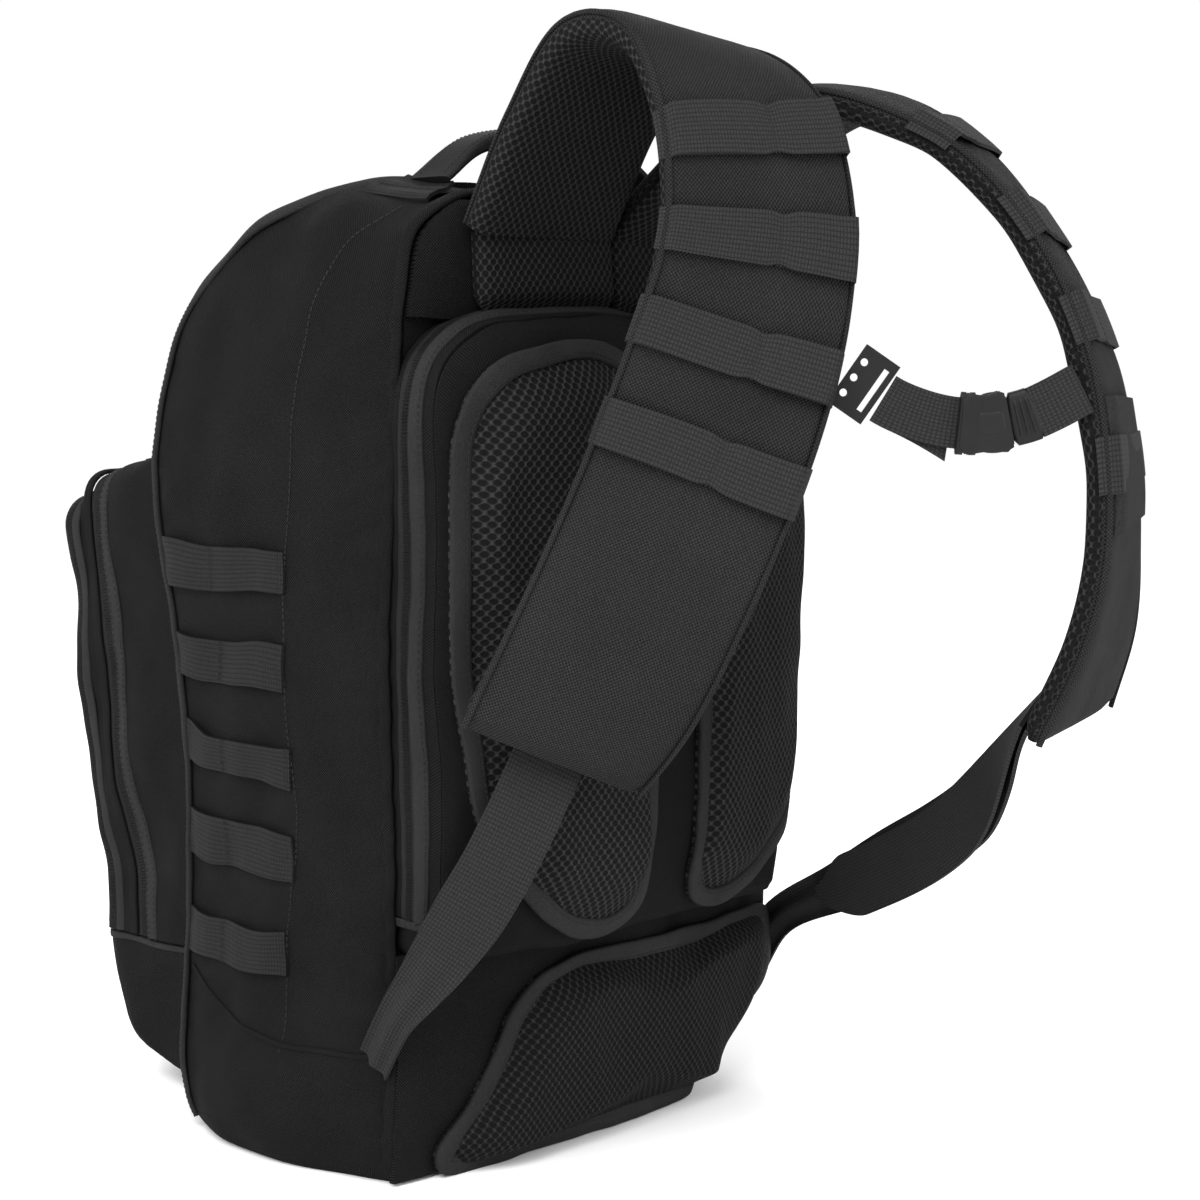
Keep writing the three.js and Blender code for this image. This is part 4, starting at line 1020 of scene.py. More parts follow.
# ---- Straps ----
class Ribbon:
    """The CAD's ribbon: a point on it by share of its length, place across it and distance out."""

    def __init__(self, route, width):
        point = self.curve(np.array([p for p, _ in route], float))
        self.side = self.curve(unit(np.array([d for _, d in route], float)))
        self.width = width
        self.point = point
        step = np.linalg.norm(np.diff(point, axis=0), axis=1)
        self.length = step.sum()
        self.s = np.concatenate([[0], np.cumsum(step)]) / self.length
        self.tangent = unit(np.gradient(point, self.s, axis=0))

    @staticmethod
    def curve(p):
        p = np.vstack([2 * p[0] - p[1], p, 2 * p[-1] - p[-2]])
        t = np.linspace(0, 1, 24, endpoint=False)
        fine = [segment(*p[i - 1:i + 3], t) for i in range(1, len(p) - 2)]
        return np.vstack(fine + [p[-2][None]])

    def look(self, table, s):
        return np.stack([np.interp(s, self.s, table[:, k]) for k in range(3)], axis=-1)

    def frame(self, s):
        along = unit(self.look(self.tangent, s))
        inward = self.look(self.side, s)
        inward = unit(inward - (inward * along).sum(-1, keepdims=True) * along)
        return along, inward, np.cross(along, inward)

    def __call__(self, s, across, out):
        s, across, out = np.broadcast_arrays(*(np.asarray(v, float) for v in (s, across, out)))
        _, inward, normal = self.frame(s)
        return (
            self.look(self.point, s) + inward * (across * self.width / 2)[..., None]
            + normal * out[..., None]
        )

    def at_height(self, height):
        s = np.linspace(1, 0, 600)
        z = self(s, 0, 0)[:, 2]
        return float(s[np.argmax(z >= height)])


ROOT_X, ROOT_Y = 53, 99.3


def station(side):
    return lambda x, y, z, dx, dy, dz: (
        (side * (ROOT_X + x), ROOT_Y + y, STRAP_ROOT_Z + z), (-side * dx, dy, dz))


def right_route():
    p = station(1)
    return [p(0, 1, 1, 1, 0, 0), p(0, 32, 54, 1, 0, 0), p(-1, 65, 91, 1, -0.02, -0.06),
            p(-3, 104, 87, 1, 0.1, -0.1), p(-1, 136, 55, 0.95, 0.28, -0.1),
            p(1, 150, 8, 0.92, 0.36, -0.15), p(6, 150, -33, 0.87, 0.45, -0.18),
            p(17, 144, -77, 0.76, 0.6, -0.22), p(29, 134, -121, 0.67, 0.7, -0.22),
            p(43, 118, -172, 0.64, 0.74, -0.18), p(55, 98, -220, 0.68, 0.7, -0.2),
            p(64, 70, -265, 0.85, 0.42, -0.32)]


def left_route():
    p = station(-1)
    return [p(0, 1, 1, 1, 0, 0), p(0, 32, 27, 1, 0, 0), p(1, 76, 58, 1, 0.02, -0.04),
            p(8, 121, 67, 0.97, 0.2, -0.04), p(28, 171, 42, 0.9, 0.4, -0.03),
            p(43, 210, -4, 0.88, 0.44, 0), p(53, 236, -57, 0.88, 0.43, 0),
            p(57, 249, -112, 0.89, 0.4, 0), p(60, 250, -161, 0.9, 0.38, 0),
            p(61, 243, -207, 0.93, 0.3, 0), p(61, 224, -256, 0.96, 0.2, -0.05)]


RIGHT = Ribbon(right_route(), STRAP_WIDTH)
LEFT = Ribbon(left_route(), STRAP_WIDTH)
STRAP_HALF = 8.2
BAR_PLACE = 0.16  # where across a strap its bands are stitched down


def section(columns, square=0.32):
    angle = np.linspace(0, 2 * math.pi, columns, endpoint=False)
    across = np.sign(np.cos(angle)) * np.abs(np.cos(angle)) ** square
    out = np.sign(np.sin(angle)) * np.abs(np.sin(angle)) ** 0.62
    return across, out


def add_strap(name, ribbon, handed, rises):
    body = f"{name}_strap"
    rows, columns = 130, 64
    across, out = section(columns)
    s = np.linspace(0, 1, rows)
    taper = np.minimum(ease(1 - s, -0.004, 0.018), 1)[:, None]
    bands = [ribbon.at_height(STRAP_ROOT_Z + rise) for rise in rises]
    reach = WEBBING / 2 / ribbon.length
    press = np.zeros((rows, 1))
    for at in bands:
        press += np.exp(-(((s - at) / (reach * 1.3)) ** 2))[:, None]
    seed = 61 if name == "right" else 62
    spot = ribbon(s[:, None], across[None], 0 * out[None])
    swell = STRAP_HALF + 0.7 * waves(spot, 60, seed) - 1.1 * press
    puff = np.where(out > 0, swell, swell + 0.6) * (0.45 + 0.55 * taper)
    wide = across[None] * (1 - 0.05 * (1 - taper))
    rings = ribbon(s[:, None], wide, handed * out[None] * puff)
    under = np.broadcast_to((out < 0.32)[None], (rows, columns))
    nodes = [f"shoulder_strap_{name}"]
    piece = tube(f"strap_pad_{name}", body, rings, HEAVY, "air_mesh", nodes, second=MESH, where=under)
    for edge in (-1, 1):
        line = np.hstack([
            ribbon(s, edge * 0.985, handed * STRAP_HALF * 0.62),
            handed * ribbon.frame(s)[2] + edge * ribbon.frame(s)[1]])
        line = even(line, 160)
        side = "inner" if edge > 0 else "outer"
        tape(f"strap_edge_{name}_{side}", body, line, 3.4, 2.2, HEAVY, "webbing")
    for k, at in enumerate(bands):
        add_band(f"{name}_{k + 1}", body, ribbon, handed, at, reach)


def add_band(name, body, ribbon, handed, at, reach):
    rows, columns = 5, 46
    share = np.linspace(0, 1, columns)
    across = -1.035 + 2.075 * share
    bar = (BAR_PLACE + 1.035) / 2.075
    span = np.where(share < bar, share / bar, (share - bar) / (1 - bar))
    loose = 1.0 if body == "right_strap" else 0.45
    lift = STRAP_HALF + 0.9 + loose * np.where(share < bar, 1.7, 2.6) * np.sin(math.pi * span) ** 0.6
    tuck = ease(np.abs(across), 0.93, 1.04)
    lift = lift * (1 - tuck) + 1.0 * tuck
    proud = 2.2 * loose * ease(across, 0.72, 0.95) * (1 - ease(across, 0.97, 1.04))
    lift = lift + proud
    pinch = 1 - 0.13 * np.exp(-(((across - BAR_PLACE) / 0.09) ** 2))
    s = at + np.linspace(-1, 1, rows)[:, None] * reach * pinch[None]
    outer = ribbon(s, across[None], handed * (lift + 1.1)[None])
    inner = ribbon(s, across[None], handed * (lift - 0.7)[None])
    outer = outer + 0.5 * np.sin(share * 7 + at * 40)[None, :, None] * ribbon.frame(np.full((1, 1), at))[0]
    slab(f"band_{name}", body, outer, inner, RIBBED, "webbing", [f"strap_band_{name}"])
    sew = np.linspace(-0.86, 0.86, 10) * reach + at
    normal = handed * ribbon.frame(sew)[2]
    line = np.hstack([ribbon(sew, BAR_PLACE, handed * (STRAP_HALF + 2.1)), normal])
    stitches(body, line, (-1.0, 1.0), pitch=2.5)


def add_straps():
    add_strap("right", RIGHT, 1, [41, -9, -62, -114])
    add_strap("left", LEFT, -1, [44, 0, -50, -119])
    for name, sign in (("right", 1), ("left", -1)):
        across, out = section(48, 0.3)
        z = np.linspace(455, 497, 16)
        shrink = 1 - 0.06 * (1 - ease(z, 455, 463))
        plump = (0.25 + 0.75 * ease(z, 454, 466))
        x = sign * 49.5 + 49.0 * across[None] * shrink[:, None]
        y = 99.6 + 7.4 * out[None] * plump[:, None]
        rings = np.stack([x, y, np.repeat(z[:, None], 48, 1)], axis=2)
        piece = tube(f"strap_root_pad_{name}", "pack", rings, MESH, "air_mesh", [f"strap_root_{name}"])


def lower_route(ribbon, handed, tab_sign, first, last):
    """Points from under a strap's end down to its tab, as in the CAD."""
    end = ribbon(1.0, 0.1, -handed * 14.3)
    over = 154.4
    foot = np.array([tab_sign * over, BACK_Y - 9, 64.0])
    top = np.array([tab_sign * (over + 1), BACK_Y + 10, 92.0])
    shifts = [end + (top - end) * part + np.array(shift) for part, shift in (first, last)]
    return [end] + shifts + [top, foot]


def add_lower_webbing():
    for name, ribbon, handed, sign, first, last, sides in (
        ("right", RIGHT, 1, 1, (0.38, (8, 15, 0)), (0.72, (7, 12, 0)),
         [(-0.82, 0.45, -0.35), (-0.78, 0.55, -0.2), (-0.6, 0.78, -0.2), (-0.05, 0.9, -0.45),
          (0, 0.85, -0.5)]),
        ("left", LEFT, -1, -1, (0.36, (2, 24, -7)), (0.74, (1, 13, -3)),
         [(0.9, 0.3, -0.25), (0.15, 0.45, -0.85), (-0.05, 0.5, -0.85), (0, 0.5, -0.8),
          (0, 0.65, -0.7)]),
    ):
        points = lower_route(ribbon, handed, sign, first, last)
        web = Ribbon(list(zip(points, sides)), LOWER_WEBBING)
        s = np.linspace(0, 1, 70)[:, None]
        across = np.linspace(-1, 1, 21)[None]
        ripple = 0.5 * np.sin(s * 17) + 0.25 * np.sin(s * 41)
        narrow = 1 - 0.4 * ease(s, 0.42, 0.88)
        gather = 1.6 * ease(s, 0.45, 0.9) * np.cos(across * 1.6 * math.pi)
        across = across * narrow
        ripple = ripple + gather
        piece = slab(
            f"lower_strap_{name}", None, web(s, across, 1.1 + ripple), web(s, across, -1.1 + ripple),
            RIBBED, "webbing", [f"lower_webbing_{name}"])
        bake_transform(piece)
        if name == "left":
            s = np.linspace(0, 0.74, 60)[:, None]
            hang = np.array([2.0, -3.0, -7.0]) * np.sin(math.pi * s / 0.74)[..., None] ** 0.7
            flat = np.linspace(-1, 1, 9)[None] * (1 - 0.7 * ease(s, 0.6, 0.74))
            tail = slab("lower_strap_tail", None, web(s, flat, 5.2) + hang, web(s, flat, 3.0) + hang,
                        RIBBED, "webbing")
            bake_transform(tail)
        add_tab(name, sign)


def add_tab(name, sign):
    """The folded end of the webbing and the gusset that it is sewn into."""
    outline = [(86, 20), (86, 99), (70, 92), (67, 72), (67, 47), (71, 34)]
    y = np.array([p[0] for p in outline], float)
    z = np.array([p[1] for p in outline], float)
    loop = even(np.stack([y, z, 0 * y], axis=1)[[0, 1, 2, 3, 4, 5, 0]], 60, True)
    middle = np.array([77.0, 60, 0])
    share = np.linspace(0.05, 1, 8)
    flat = middle + (loop[None] - middle) * share[:, None, None]
    x = sign * (151.2 + 1.8 * (1 - share**4))[:, None] * np.ones(60)[None]
    outer = np.stack([x, flat[..., 0], flat[..., 1]], axis=2)
    inner = outer.copy()
    inner[..., 0] = sign * 150.2
    rings = np.concatenate([outer, inner[::-1]])
    tube(f"tab_{name}", "pack", rings, FABRIC, "webbing", [f"strap_tab_{name}"])


def add_ladder_locks():
    for name, ribbon, handed in (("right", RIGHT, 1), ("left", LEFT, -1)):
        middle = 1 - 2.4 * 6 / ribbon.length
        depth = -handed * 9.6
        for k, step in enumerate((-5.0, 0.0, 5.0)):
            s = middle + step / ribbon.length
            across = np.linspace(-0.46, 0.46, 12)
            line = np.hstack([ribbon(s, across, depth), np.repeat(ribbon.frame(np.array([s]))[2], 12, 0)])
            nodes = [f"ladder_lock_{name}"] if k == 0 else ()
            tape(f"lock_bar_{name}_{k + 1}", f"{name}_strap", line, 3.6, 3.4, PLASTIC, "plastic",
                 replaces=nodes)
        for edge in (-0.46, 0.46):
            s = middle + np.linspace(-6.5, 6.5, 10) / ribbon.length
            line = np.hstack([ribbon(s, edge, depth), ribbon.frame(s)[2]])
            side = "inner" if edge > 0 else "outer"
            tape(f"lock_rail_{name}_{side}", f"{name}_strap", line, 4.0, 4.0, PLASTIC, "plastic")


add_straps()
add_lower_webbing()
add_ladder_locks()


# ---- Chest strap ----
CHEST_START = RIGHT(RIGHT.at_height(442), 1, 0)
CHEST_END = LEFT(LEFT.at_height(415), 1, 0)
CHEST_SPAN = CHEST_END - CHEST_START
CHEST_LENGTH = float(np.linalg.norm(CHEST_SPAN))
CHEST = Ribbon(
    [(CHEST_START + CHEST_SPAN * t + np.array([0, 0, -92 * t * (1 - t)]), (0, 0, -1))
     for t in (0, 0.25, 0.5, 0.75, 1)], WEBBING)
BUCKLE_PLACE = 0.64
WEB_HALF = 0.9
SHELL_OFFSET = 3.9  # from the chest strap's middle to each half of the buckle's shell
PRONG_PLACE = 12.1


def chest_grid(start, end, out, drop):
    s = np.linspace(start, end, 40)[:, None]
    across = np.linspace(-1, 1, 9)[None]
    grid = CHEST(s, across, out)
    share = (s - start) / (end - start)
    grid[..., 2] -= (drop * share**2)
    return grid


def chest_web(name, body, start, end, out, replaces=(), drop=0.0):
    middle = out + 0.5 * np.sin(np.linspace(0, 8, 40))[:, None]
    faces = [chest_grid(start, end, middle + side * WEB_HALF, drop) for side in (1, -1)]
    slab(name, body, *faces, RIBBED, "webbing", replaces)


def chest_box(name, body, low, high, half, thick, replaces=(), power=0.35, offset=0.0, pinch=None):
    """A moulded piece along the chest strap, by distances from the buckle's middle."""
    across, out = section(32, power)
    steps = np.linspace(0, 1, 16)
    s = BUCKLE_PLACE + (low + (high - low) * steps) / CHEST_LENGTH
    round_off = np.minimum(ease(steps, -0.02, 0.14), ease(1 - steps, -0.02, 0.14)) * 0.25 + 0.75
    widths = half if pinch is None else half * pinch(steps)
    a = (across[None] * (widths * round_off)[:, None] + offset) / (WEBBING / 2)
    o = out[None] * (thick / 2 * round_off)[:, None]
    return tube(name, body, CHEST(s[:, None], a, o), PLASTIC, "plastic", replaces)


def add_chest():
    web_start = 25.5 / CHEST_LENGTH
    web_end, tail_end, loop_start, loop_end, left_start = (
        BUCKLE_PLACE + distance / CHEST_LENGTH for distance in (-17, -21, 18, 42, 33))
    chest_web("chest_web_right", "right_strap", web_start, web_end, 0, ["sternum_web_right"])
    chest_web("chest_web_tail", "right_strap", web_start + 0.07, tail_end, 2.6, (), 7.0)
    chest_web("chest_web_left", "left_strap", left_start, 0.985, 0, ["sternum_web_left"])
    for name, out in (("front", 2.3), ("back", -2.3)):
        chest_web(f"buckle_loop_{name}", "buckle_plug", loop_start, loop_end, out)
    normal = CHEST.frame(np.full(10, web_start + 0.05))[2]
    line = np.hstack([CHEST(np.full(10, web_start + 0.06), np.linspace(-0.9, 0.9, 10), 1.2), normal])
    stitches("right_strap", line, (-1.2, 1.2), pitch=2.4)
    waist = lambda t: 1 - 0.10 * np.sin(math.pi * t) ** 2
    for name, side, nodes in (("front", 1, ["buckle_socket"]), ("back", -1, ())):
        shell = chest_box(
            f"buckle_shell_{name}", "right_strap", -16, 6, 15.5, 2.2, nodes, 0.3, 0.0, waist)
        move = CHEST.frame(np.array([BUCKLE_PLACE]))[2][0] * (SHELL_OFFSET * side)
        shell.data.transform(Matrix.Translation(Vector(move * MM)))
    for end, low in (("a", -17.5), ("b", -12.5)):
        chest_box(f"buckle_bar_{end}", "right_strap", low, low + 3.4, 15.5, 8.5, (), 0.25)
    chest_box("buckle_body", "buckle_plug", 6.5, 19, 13.4, 8, ["buckle_plug"], 0.3)
    for k, low in enumerate((9.0, 12.0, 15.0)):
        chest_box(f"buckle_grip_{k + 1}", "buckle_plug", low, low + 1.6, 10.5, 9.6, (), 0.3)
    chest_box("buckle_crest", "right_strap", -9, 4.5, 6.5, 11.4, (), 0.3)
    chest_box("buckle_tongue", "buckle_plug", -8, 8, 3, 4, (), 0.4)
    bow = lambda t: 0.75 + 0.35 * np.sin(math.pi * t)
    for name, side in (("upper", -1), ("lower", 1)):
        arm = f"buckle_arm_{name}"
        chest_box(f"buckle_prong_{name}", arm, -7, 6, 2.7, 4.2, [arm], 0.4, side * PRONG_PLACE, bow)
    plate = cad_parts["sternum_adjuster"]
    plate.data.materials.clear()
    plate.data.materials.append(PLASTIC)


def add_patch():
    top, low = LEFT.at_height(409), LEFT.at_height(347)
    s = np.linspace(top, low, 30)[:, None]
    across = np.linspace(-0.93, 0.93, 24)[None]
    lift = 10.2 + 0.4 * np.sin(s * 60) - 3.5 * ease(np.abs(across), 0.7, 0.95)
    slab("loop_pile_patch", "left_strap", LEFT(s, across, -lift - 0.9), LEFT(s, across, -lift + 0.9),
         PILE, "loop_pile", ["loop_patch"])


add_chest()
add_patch()


# ---- Handle ----
def add_handle():
    half, low, rise = 85, 525, 28
    handle = Ribbon(
        [((x, 48, z), (0, 1, 0)) for x, z in (
            (half, low), (half * 0.62, low + rise * 0.72), (0, low + rise),
            (-half * 0.62, low + rise * 0.72), (-half, low))], 30)
    s = np.linspace(0, 1, 70)
    across, out = section(30, 0.4)
    ends = np.abs(2 * s - 1)
    wide = 0.86 + 0.25 * ease(ends, 0.55, 1.0)
    thick = 4.6 - 2.6 * ease(ends, 0.5, 0.95)
    rings = handle(s[:, None], across[None] * wide[:, None], out[None] * thick[:, None])
    # The grip's webbing is darkened by painted shade.
    grip = tube("handle_grip", None, rings, SHADED_HANDLE_RIBBED, "webbing", ["haul_handle"])
    bend_handle(grip)
    for edge in (-0.62, 0.62):
        at = np.linspace(0.03, 0.97, 90)
        half_thick = 4.6 - 2.6 * ease(np.abs(2 * at - 1), 0.5, 0.95)
        normal = handle.frame(at)[2]
        up = np.where(normal[:, 2:] > 0, 1.0, -1.0)
        line = np.hstack([handle(at, edge, 0) + normal * up * (half_thick * 0.93)[:, None], normal * up])
        stitches("haul_handle", line, pitch=3.2)
    for name, sign in (("right", 1), ("left", -1)):
        x = np.array([84, 88, 92, 97, 103, 108, 111.0])
        z = np.array([523.5, 521.4, 520.4, 519.8, 518.6, 517.0, 514.5])
        across = np.linspace(-1, 1, 12)
        spread = 17 + 9 * ease(x, 84, 100)
        grid = np.stack([
            np.repeat(sign * x[:, None], 12, 1), 48 + across[None] * spread[:, None],
            np.repeat(z[:, None], 12, 1)], axis=2)
        # The feet's webbing is darkened by painted shade.
        sheet(f"handle_foot_{name}", "pack", grid, 2.0, SHADED_HANDLE_RIBBED, "webbing")
        line = np.stack([
            np.full(14, sign * 100.0), 48 + np.linspace(-24, 24, 14), np.full(14, 520.0)], axis=1)
        stitches("pack", with_normals(line, (sign * 0.2, 0, 1)), (-1.3, 1.3), pitch=2.6)


add_handle()


# ---- Front pocket ----
POCKET = smooth_path(
    [(-101, 374, 0), (-137, 373, 0), (-162, 368, 0), (-187, 361.5, 0), (-203, 356, 0), (-217, 349, 0),
     (-229, 340, 0), (-234, 328, 0), (-232, 311, 0), (-226, 295, 0), (-222, 261, 0), (-220, 225, 0),
     (-217, 188, 0), (-207, 156, 0), (-197, 129, 0), (-194, 105, 0), (-193, 90, 0), (-191, 60, 0),
     (-185, 38, 0), (-173, 23, 0), (-158, 15.5, 0), (-138, 13, 0), (-86, 13, 0)], 300)[:, :2]
NOSE = int(np.argmin(POCKET[:, 0]))
NOSE_Z = 328


def face_y(z):
    """The pocket's front face, held upright above its nose."""
    below = POCKET[NOSE:]
    return np.interp(np.minimum(z, NOSE_Z), below[::-1, 1], below[::-1, 0])


def top_z(y):
    above = POCKET[:NOSE]
    return np.interp(-y, -above[:, 0], above[:, 1])


def pocket_arch(line_y, height, half, radius, side_steps=46, corner_steps=12, top_steps=50):
    """Up one side, over the top and down the other, along a line y(z)."""
    z = np.linspace(HINGE_Z, height - radius, side_steps)
    up = [(half, float(line_y(v)), v) for v in z]
    for a in np.linspace(0, math.pi / 2, corner_steps)[1:]:
        v = height - radius + radius * math.sin(a)
        up.append((half - radius + radius * math.cos(a), float(line_y(v)), v))
    flat = np.linspace(half - radius, radius - half, top_steps)[1:-1]
    over = [(x, float(line_y(height)), height) for x in flat]
    return np.array(up + over + [(-x, y, z) for x, y, z in up[::-1]])


def arch_line(arch, lift=0.0, lean=0.0):
    """An arch with its outward normals."""
    x, z = arch[:, 0], arch[:, 2]
    ahead = np.stack([np.gradient(x), np.gradient(z)], axis=1)
    out = unit(np.stack([ahead[:, 1], -ahead[:, 0]], axis=1))
    normal = np.stack([out[:, 0], np.full(len(arch), lean), out[:, 1]], axis=1)
    return np.hstack([arch + unit(normal) * lift, normal])


def arch_band(name, body, front, rear, columns, bulge, nodes, seed):
    share = np.linspace(0, 1, columns)
    grid = front[:, None] + (rear - front)[:, None] * share[None, :, None]
    normal = arch_line(front)[:, 3:]
    arch = np.sin(math.pi * share)[None]
    rise = bulge * arch**0.8 + (0.7 * waves(grid, 45, seed) + 0.3 * waves(grid, 18, seed + 1)) * arch
    grid = grid + normal[:, None] * rise[..., None]
    sheet(name, body, grid, 2.5, FABRIC, "pack_fabric", nodes, centre=(0, -150, 220))


def add_pocket():
    body_y = lambda z: front_y(np.asarray(z, float)) - 1.2
    line_14 = lambda z: face_y(z) + 14
    line_42 = lambda z: face_y(z) + 42
    top_14, top_42 = float(top_z(-220)), float(top_z(-192))
    rear = pocket_arch(body_y, 374, POCKET_HALF, 20)
    seam_42 = pocket_arch(line_42, top_42, POCKET_HALF, 20)
    seam_14 = pocket_arch(line_14, top_14, POCKET_HALF, 18)
    fixed_front = seam_42 + np.array([0, 2.0, 0])
    lid_rear = seam_42 - np.array([0, 2.0, 0])
    lid_front = seam_14 + np.array([0, 1.6, 0])
    arch_band("pocket_wall", "front_door", fixed_front, rear, 26, 4.0, (), 71)
    arch_band("lid_wall", "pocket_lid", lid_front, lid_rear, 12, 1.6, ["pocket_lid"], 73)
    add_pocket_boot(body_y)
    add_pocket_face(line_14, top_14)
    chain = even(arch_line(seam_42, 0.6), 500)
    tape("pocket_zip_tape", "front_door", even(chain, 240), 11, 0.9, ZIP_TAPE, "pack_fabric")
    zip_chain("front_door", chain)
    welt = even(arch_line(seam_42 + np.array([0, 9.0, 0]), 1.9), 240)
    tape("pocket_zip_welt", "front_door", welt, 8.5, 2.2, BINDING, "webbing")
    stitches("front_door", even(arch_line(seam_42 + np.array([0, 9.0, 0]), 3.0), 300), (-2.8, 2.8))
    tape("lid_zip_flap", "pocket_lid", even(arch_line(seam_42 - np.array([0, 8.5, 0]), 1.8), 240), 6.5, 2.0,
         FABRIC, "pack_fabric")
    chain = even(arch_line(seam_14, 0.5), 500)
    tape("outer_zip_tape", "pocket_lid", even(chain, 240), 8, 0.8, ZIP_TAPE, "pack_fabric")
    zip_chain("pocket_lid", chain)
    welt = even(arch_line(seam_14 + np.array([0, 7.0, 0]), 1.6), 240)
    tape("outer_zip_welt", "pocket_lid", welt, 6.5, 2.0, BINDING, "webbing")
    add_pocket_back()


def add_pocket_back():
    """The lid's inner wall behind the slim outer pocket."""
    z = np.linspace(HINGE_Z + 2, 340, 40)
    share = np.linspace(-1, 1, 30)
    y = face_y(z) + 16
    grid = np.stack([
        np.repeat((POCKET_HALF - 4) * share[None], 40, 0), np.repeat(y[:, None], 30, 1),
        np.repeat(z[:, None], 30, 1)], axis=2)
    grid[..., 1] += 0.6 * waves(grid, 50, 76)
    back = grid + np.array([0, 2.2, 0])
    slab("lid_back", "pocket_lid", grid, back, LINING, "lining")


def add_pocket_boot(body_y):
    rows = POCKET[POCKET[:, 1] <= HINGE_Z + 1]
    rows = rows[rows[:, 0] < -88]
    columns = 70
    share = np.linspace(-1, 1, columns)
    radius = 20.0
    low = np.clip((30 - rows[:, 1]) / 30, 0, 1)
    half = POCKET_HALF - 12 * (1 - np.sqrt(1 - low**2))
    grid = np.zeros((len(rows), columns, 3))
    for i, (y, z) in enumerate(rows):
        back = float(body_y(max(z, 20)))
        depth = max(back - y, 0.01)
        turn = min(radius, depth)
        straight = depth - turn
        path = [(half[i], back), (half[i], back - straight)]
        for a in np.linspace(0, math.pi / 2, 8)[1:]:
            path.append((half[i] - radius + radius * math.cos(a), back - straight - turn * math.sin(a)))
        path += [(-x, v) for x, v in path[::-1]]
        path = even(np.array([(x, v, 0) for x, v in path], float), columns)
        grid[i, :, 0], grid[i, :, 1], grid[i, :, 2] = path[:, 0], path[:, 1], z
    grid += normals_of(grid) * (0.8 * waves(grid, 40, 81) * ease(np.abs(share), 1.0, 0.9)[None])[..., None]
    sheet("pocket_boot", "front_door", grid, 2.5, FABRIC, "pack_fabric", ["front_pocket"],
          centre=(0, -130, 60))
    rim = np.hstack([grid[2], np.zeros((columns, 3))])
    rim[:, 3:] = unit(rim[:, :3] - np.array([0, -120, HINGE_Z]))
    tape("pocket_boot_seam", "front_door", even(rim, 200), 4.5, 2.4, BINDING, "webbing")


def add_pocket_face(line_14, top_14):
    start = int(np.argmax(POCKET[:, 0] < -219.5))
    stop = int(np.argmax((POCKET[:, 1] < HINGE_Z + 1.5) & (POCKET[:, 0] < -150)))
    path = np.hstack([POCKET[start:stop], np.zeros((stop - start, 1))])
    rows, columns = 90, 80
    front = even(path, rows)[:, :2]
    z14 = np.linspace(top_14, HINGE_Z + 1.5, rows)
    z14 = np.minimum(np.maximum(front[:, 1] * 0.6 + z14 * 0.4, HINGE_Z + 1), top_14)
    rear = np.stack([np.array([float(line_14(v)) for v in z14]) - 1.6, z14], axis=1)
    share = np.linspace(-1, 1, columns)
    radius, edge = 16.0, 0.86
    angle = np.clip((1 - np.abs(share)) / (1 - edge), 0, 1) * math.pi / 2
    weight = np.sin(angle)
    x = np.where(
        np.abs(share) > edge, np.sign(share) * (POCKET_HALF - radius * (1 - np.cos(angle))),
        share / edge * (POCKET_HALF - radius))
    climb = np.clip((z14 - (top_14 - 18)) / 18, 0, 1)
    half = POCKET_HALF - 18 * (1 - np.sqrt(1 - climb**2))
    grid = np.zeros((rows, columns, 3))
    grid[..., 0] = x[None] * (half / POCKET_HALF)[:, None]
    for k in (0, 1):
        grid[..., k + 1] = rear[:, None, k] + (front[:, None, k] - rear[:, None, k]) * weight[None]
    crown = (1 - (x / POCKET_HALF) ** 2)[None] * np.sin(math.pi * np.linspace(0, 1, rows))[:, None] ** 0.7
    grid[..., 1] -= 5 * crown
    grid[..., 1] -= (1.2 * waves(grid, 60, 91) + 0.5 * waves(grid, 22, 92)) * weight[None]
    sheet("pocket_face", "outer_pocket", grid, 2.4, FABRIC, "pack_fabric", ["outer_pocket"],
          centre=(0, -150, 220))


add_pocket()


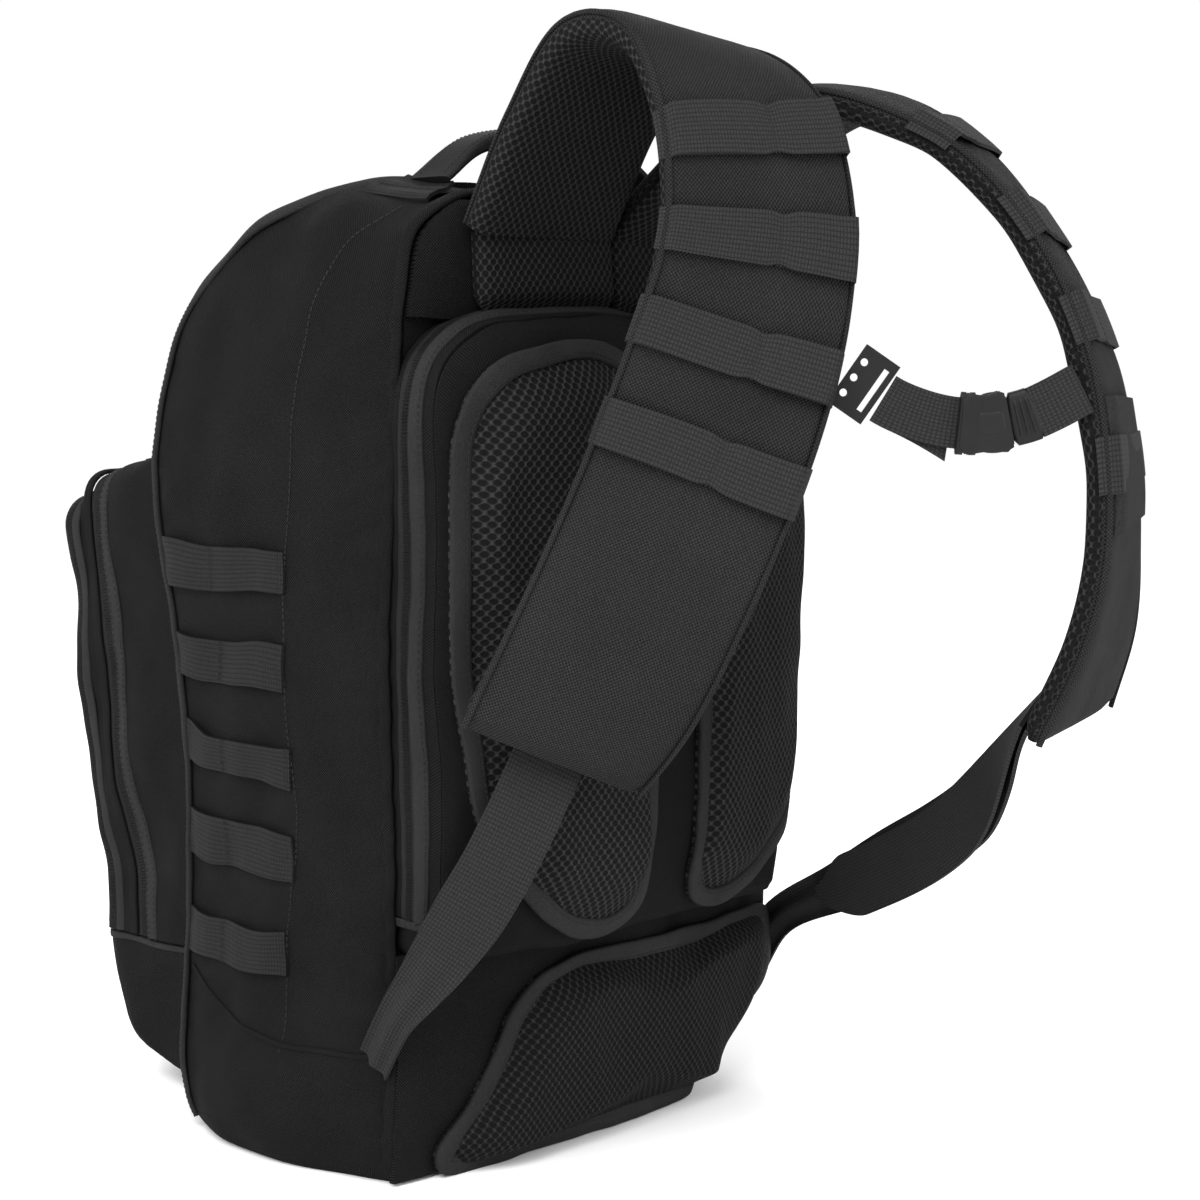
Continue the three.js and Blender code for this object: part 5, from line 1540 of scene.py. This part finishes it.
# ---- Zip sliders, pulls and inner parts ----
def add_slider(name, body, node):
    low, high = (np.array(v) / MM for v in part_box(node))
    middle, size = (low + high) / 2, high - low
    across, out = section(20, 0.5)
    steps = np.linspace(-1, 1, 12)
    waist = 1 - 0.22 * np.exp(-((steps - 0.1) / 0.35) ** 2)
    ends = np.sqrt(np.maximum(1 - np.abs(steps) ** 6, 0.1))
    rings = np.stack([
        np.repeat(middle[0] + steps[:, None] * size[0] / 2, 20, 1),
        middle[1] + across[None] * (size[1] / 2 * waist * ends)[:, None],
        middle[2] + out[None] * (size[2] / 2 * ends)[:, None]], axis=2)
    tube(name, body, rings, BLACK_METAL, "zip_metal", [node])


def add_pull(name, body, node):
    """A cord loop through a slider, drawn together at its end."""
    low, high = (np.array(v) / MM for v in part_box(node))
    x, z = (low[0] + high[0]) / 2, (low[2] + high[2]) / 2
    near, widest, far = low[1] + 1, low[1] + 10, high[1] - 3
    loop = [(x - 1.6, near, z), (x - 3.4, widest, z + 1), (x - 2.2, far, z), (x, high[1], z),
            (x + 2.2, far, z), (x + 3.4, widest, z + 1), (x + 1.6, near, z)]
    line = with_normals(smooth_path(loop, 60), (0, 0, 1))
    tape(name, body, line, 1.9, 1.9, RIBBED, "plastic", replaces=[node])


def add_inner_back():
    """The wall behind the rear compartment, narrower where the far low corner is slack."""
    share, z = np.meshgrid(np.linspace(-1, 1, 30), np.linspace(20, 500, 48))
    x = share * (half_width(z) - 5.5) * (1 - 0.25 * ease(-z, -110, -20))
    wall = np.stack([x, np.full_like(x, BACK_Y - 2.6), z], axis=2)
    slab("inner_back", "pack", wall, wall + np.array([0, 2.2, 0]), FABRIC, "pack_fabric", ["rear_wall"])


def add_small_parts():
    add_slider("rear_slider", "rear_zip", "rear_zip_slider")
    add_slider("pocket_slider", "pocket_zip", "pocket_zip_slider")
    add_slider("main_slider", "main_zip", "main_zip_slider")
    add_pull("rear_pull", "rear_zip_pull", "rear_zip_pull")
    add_pull("pocket_pull", "pocket_zip_pull", "pocket_zip_pull")
    add_inner_back()
    for node, material in (("frame_sheet", PLASTIC), ("frame_stay", ALLOY)):
        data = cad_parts[node].data
        data.materials.clear()
        data.materials.append(material)


add_small_parts()
finish_small_parts()
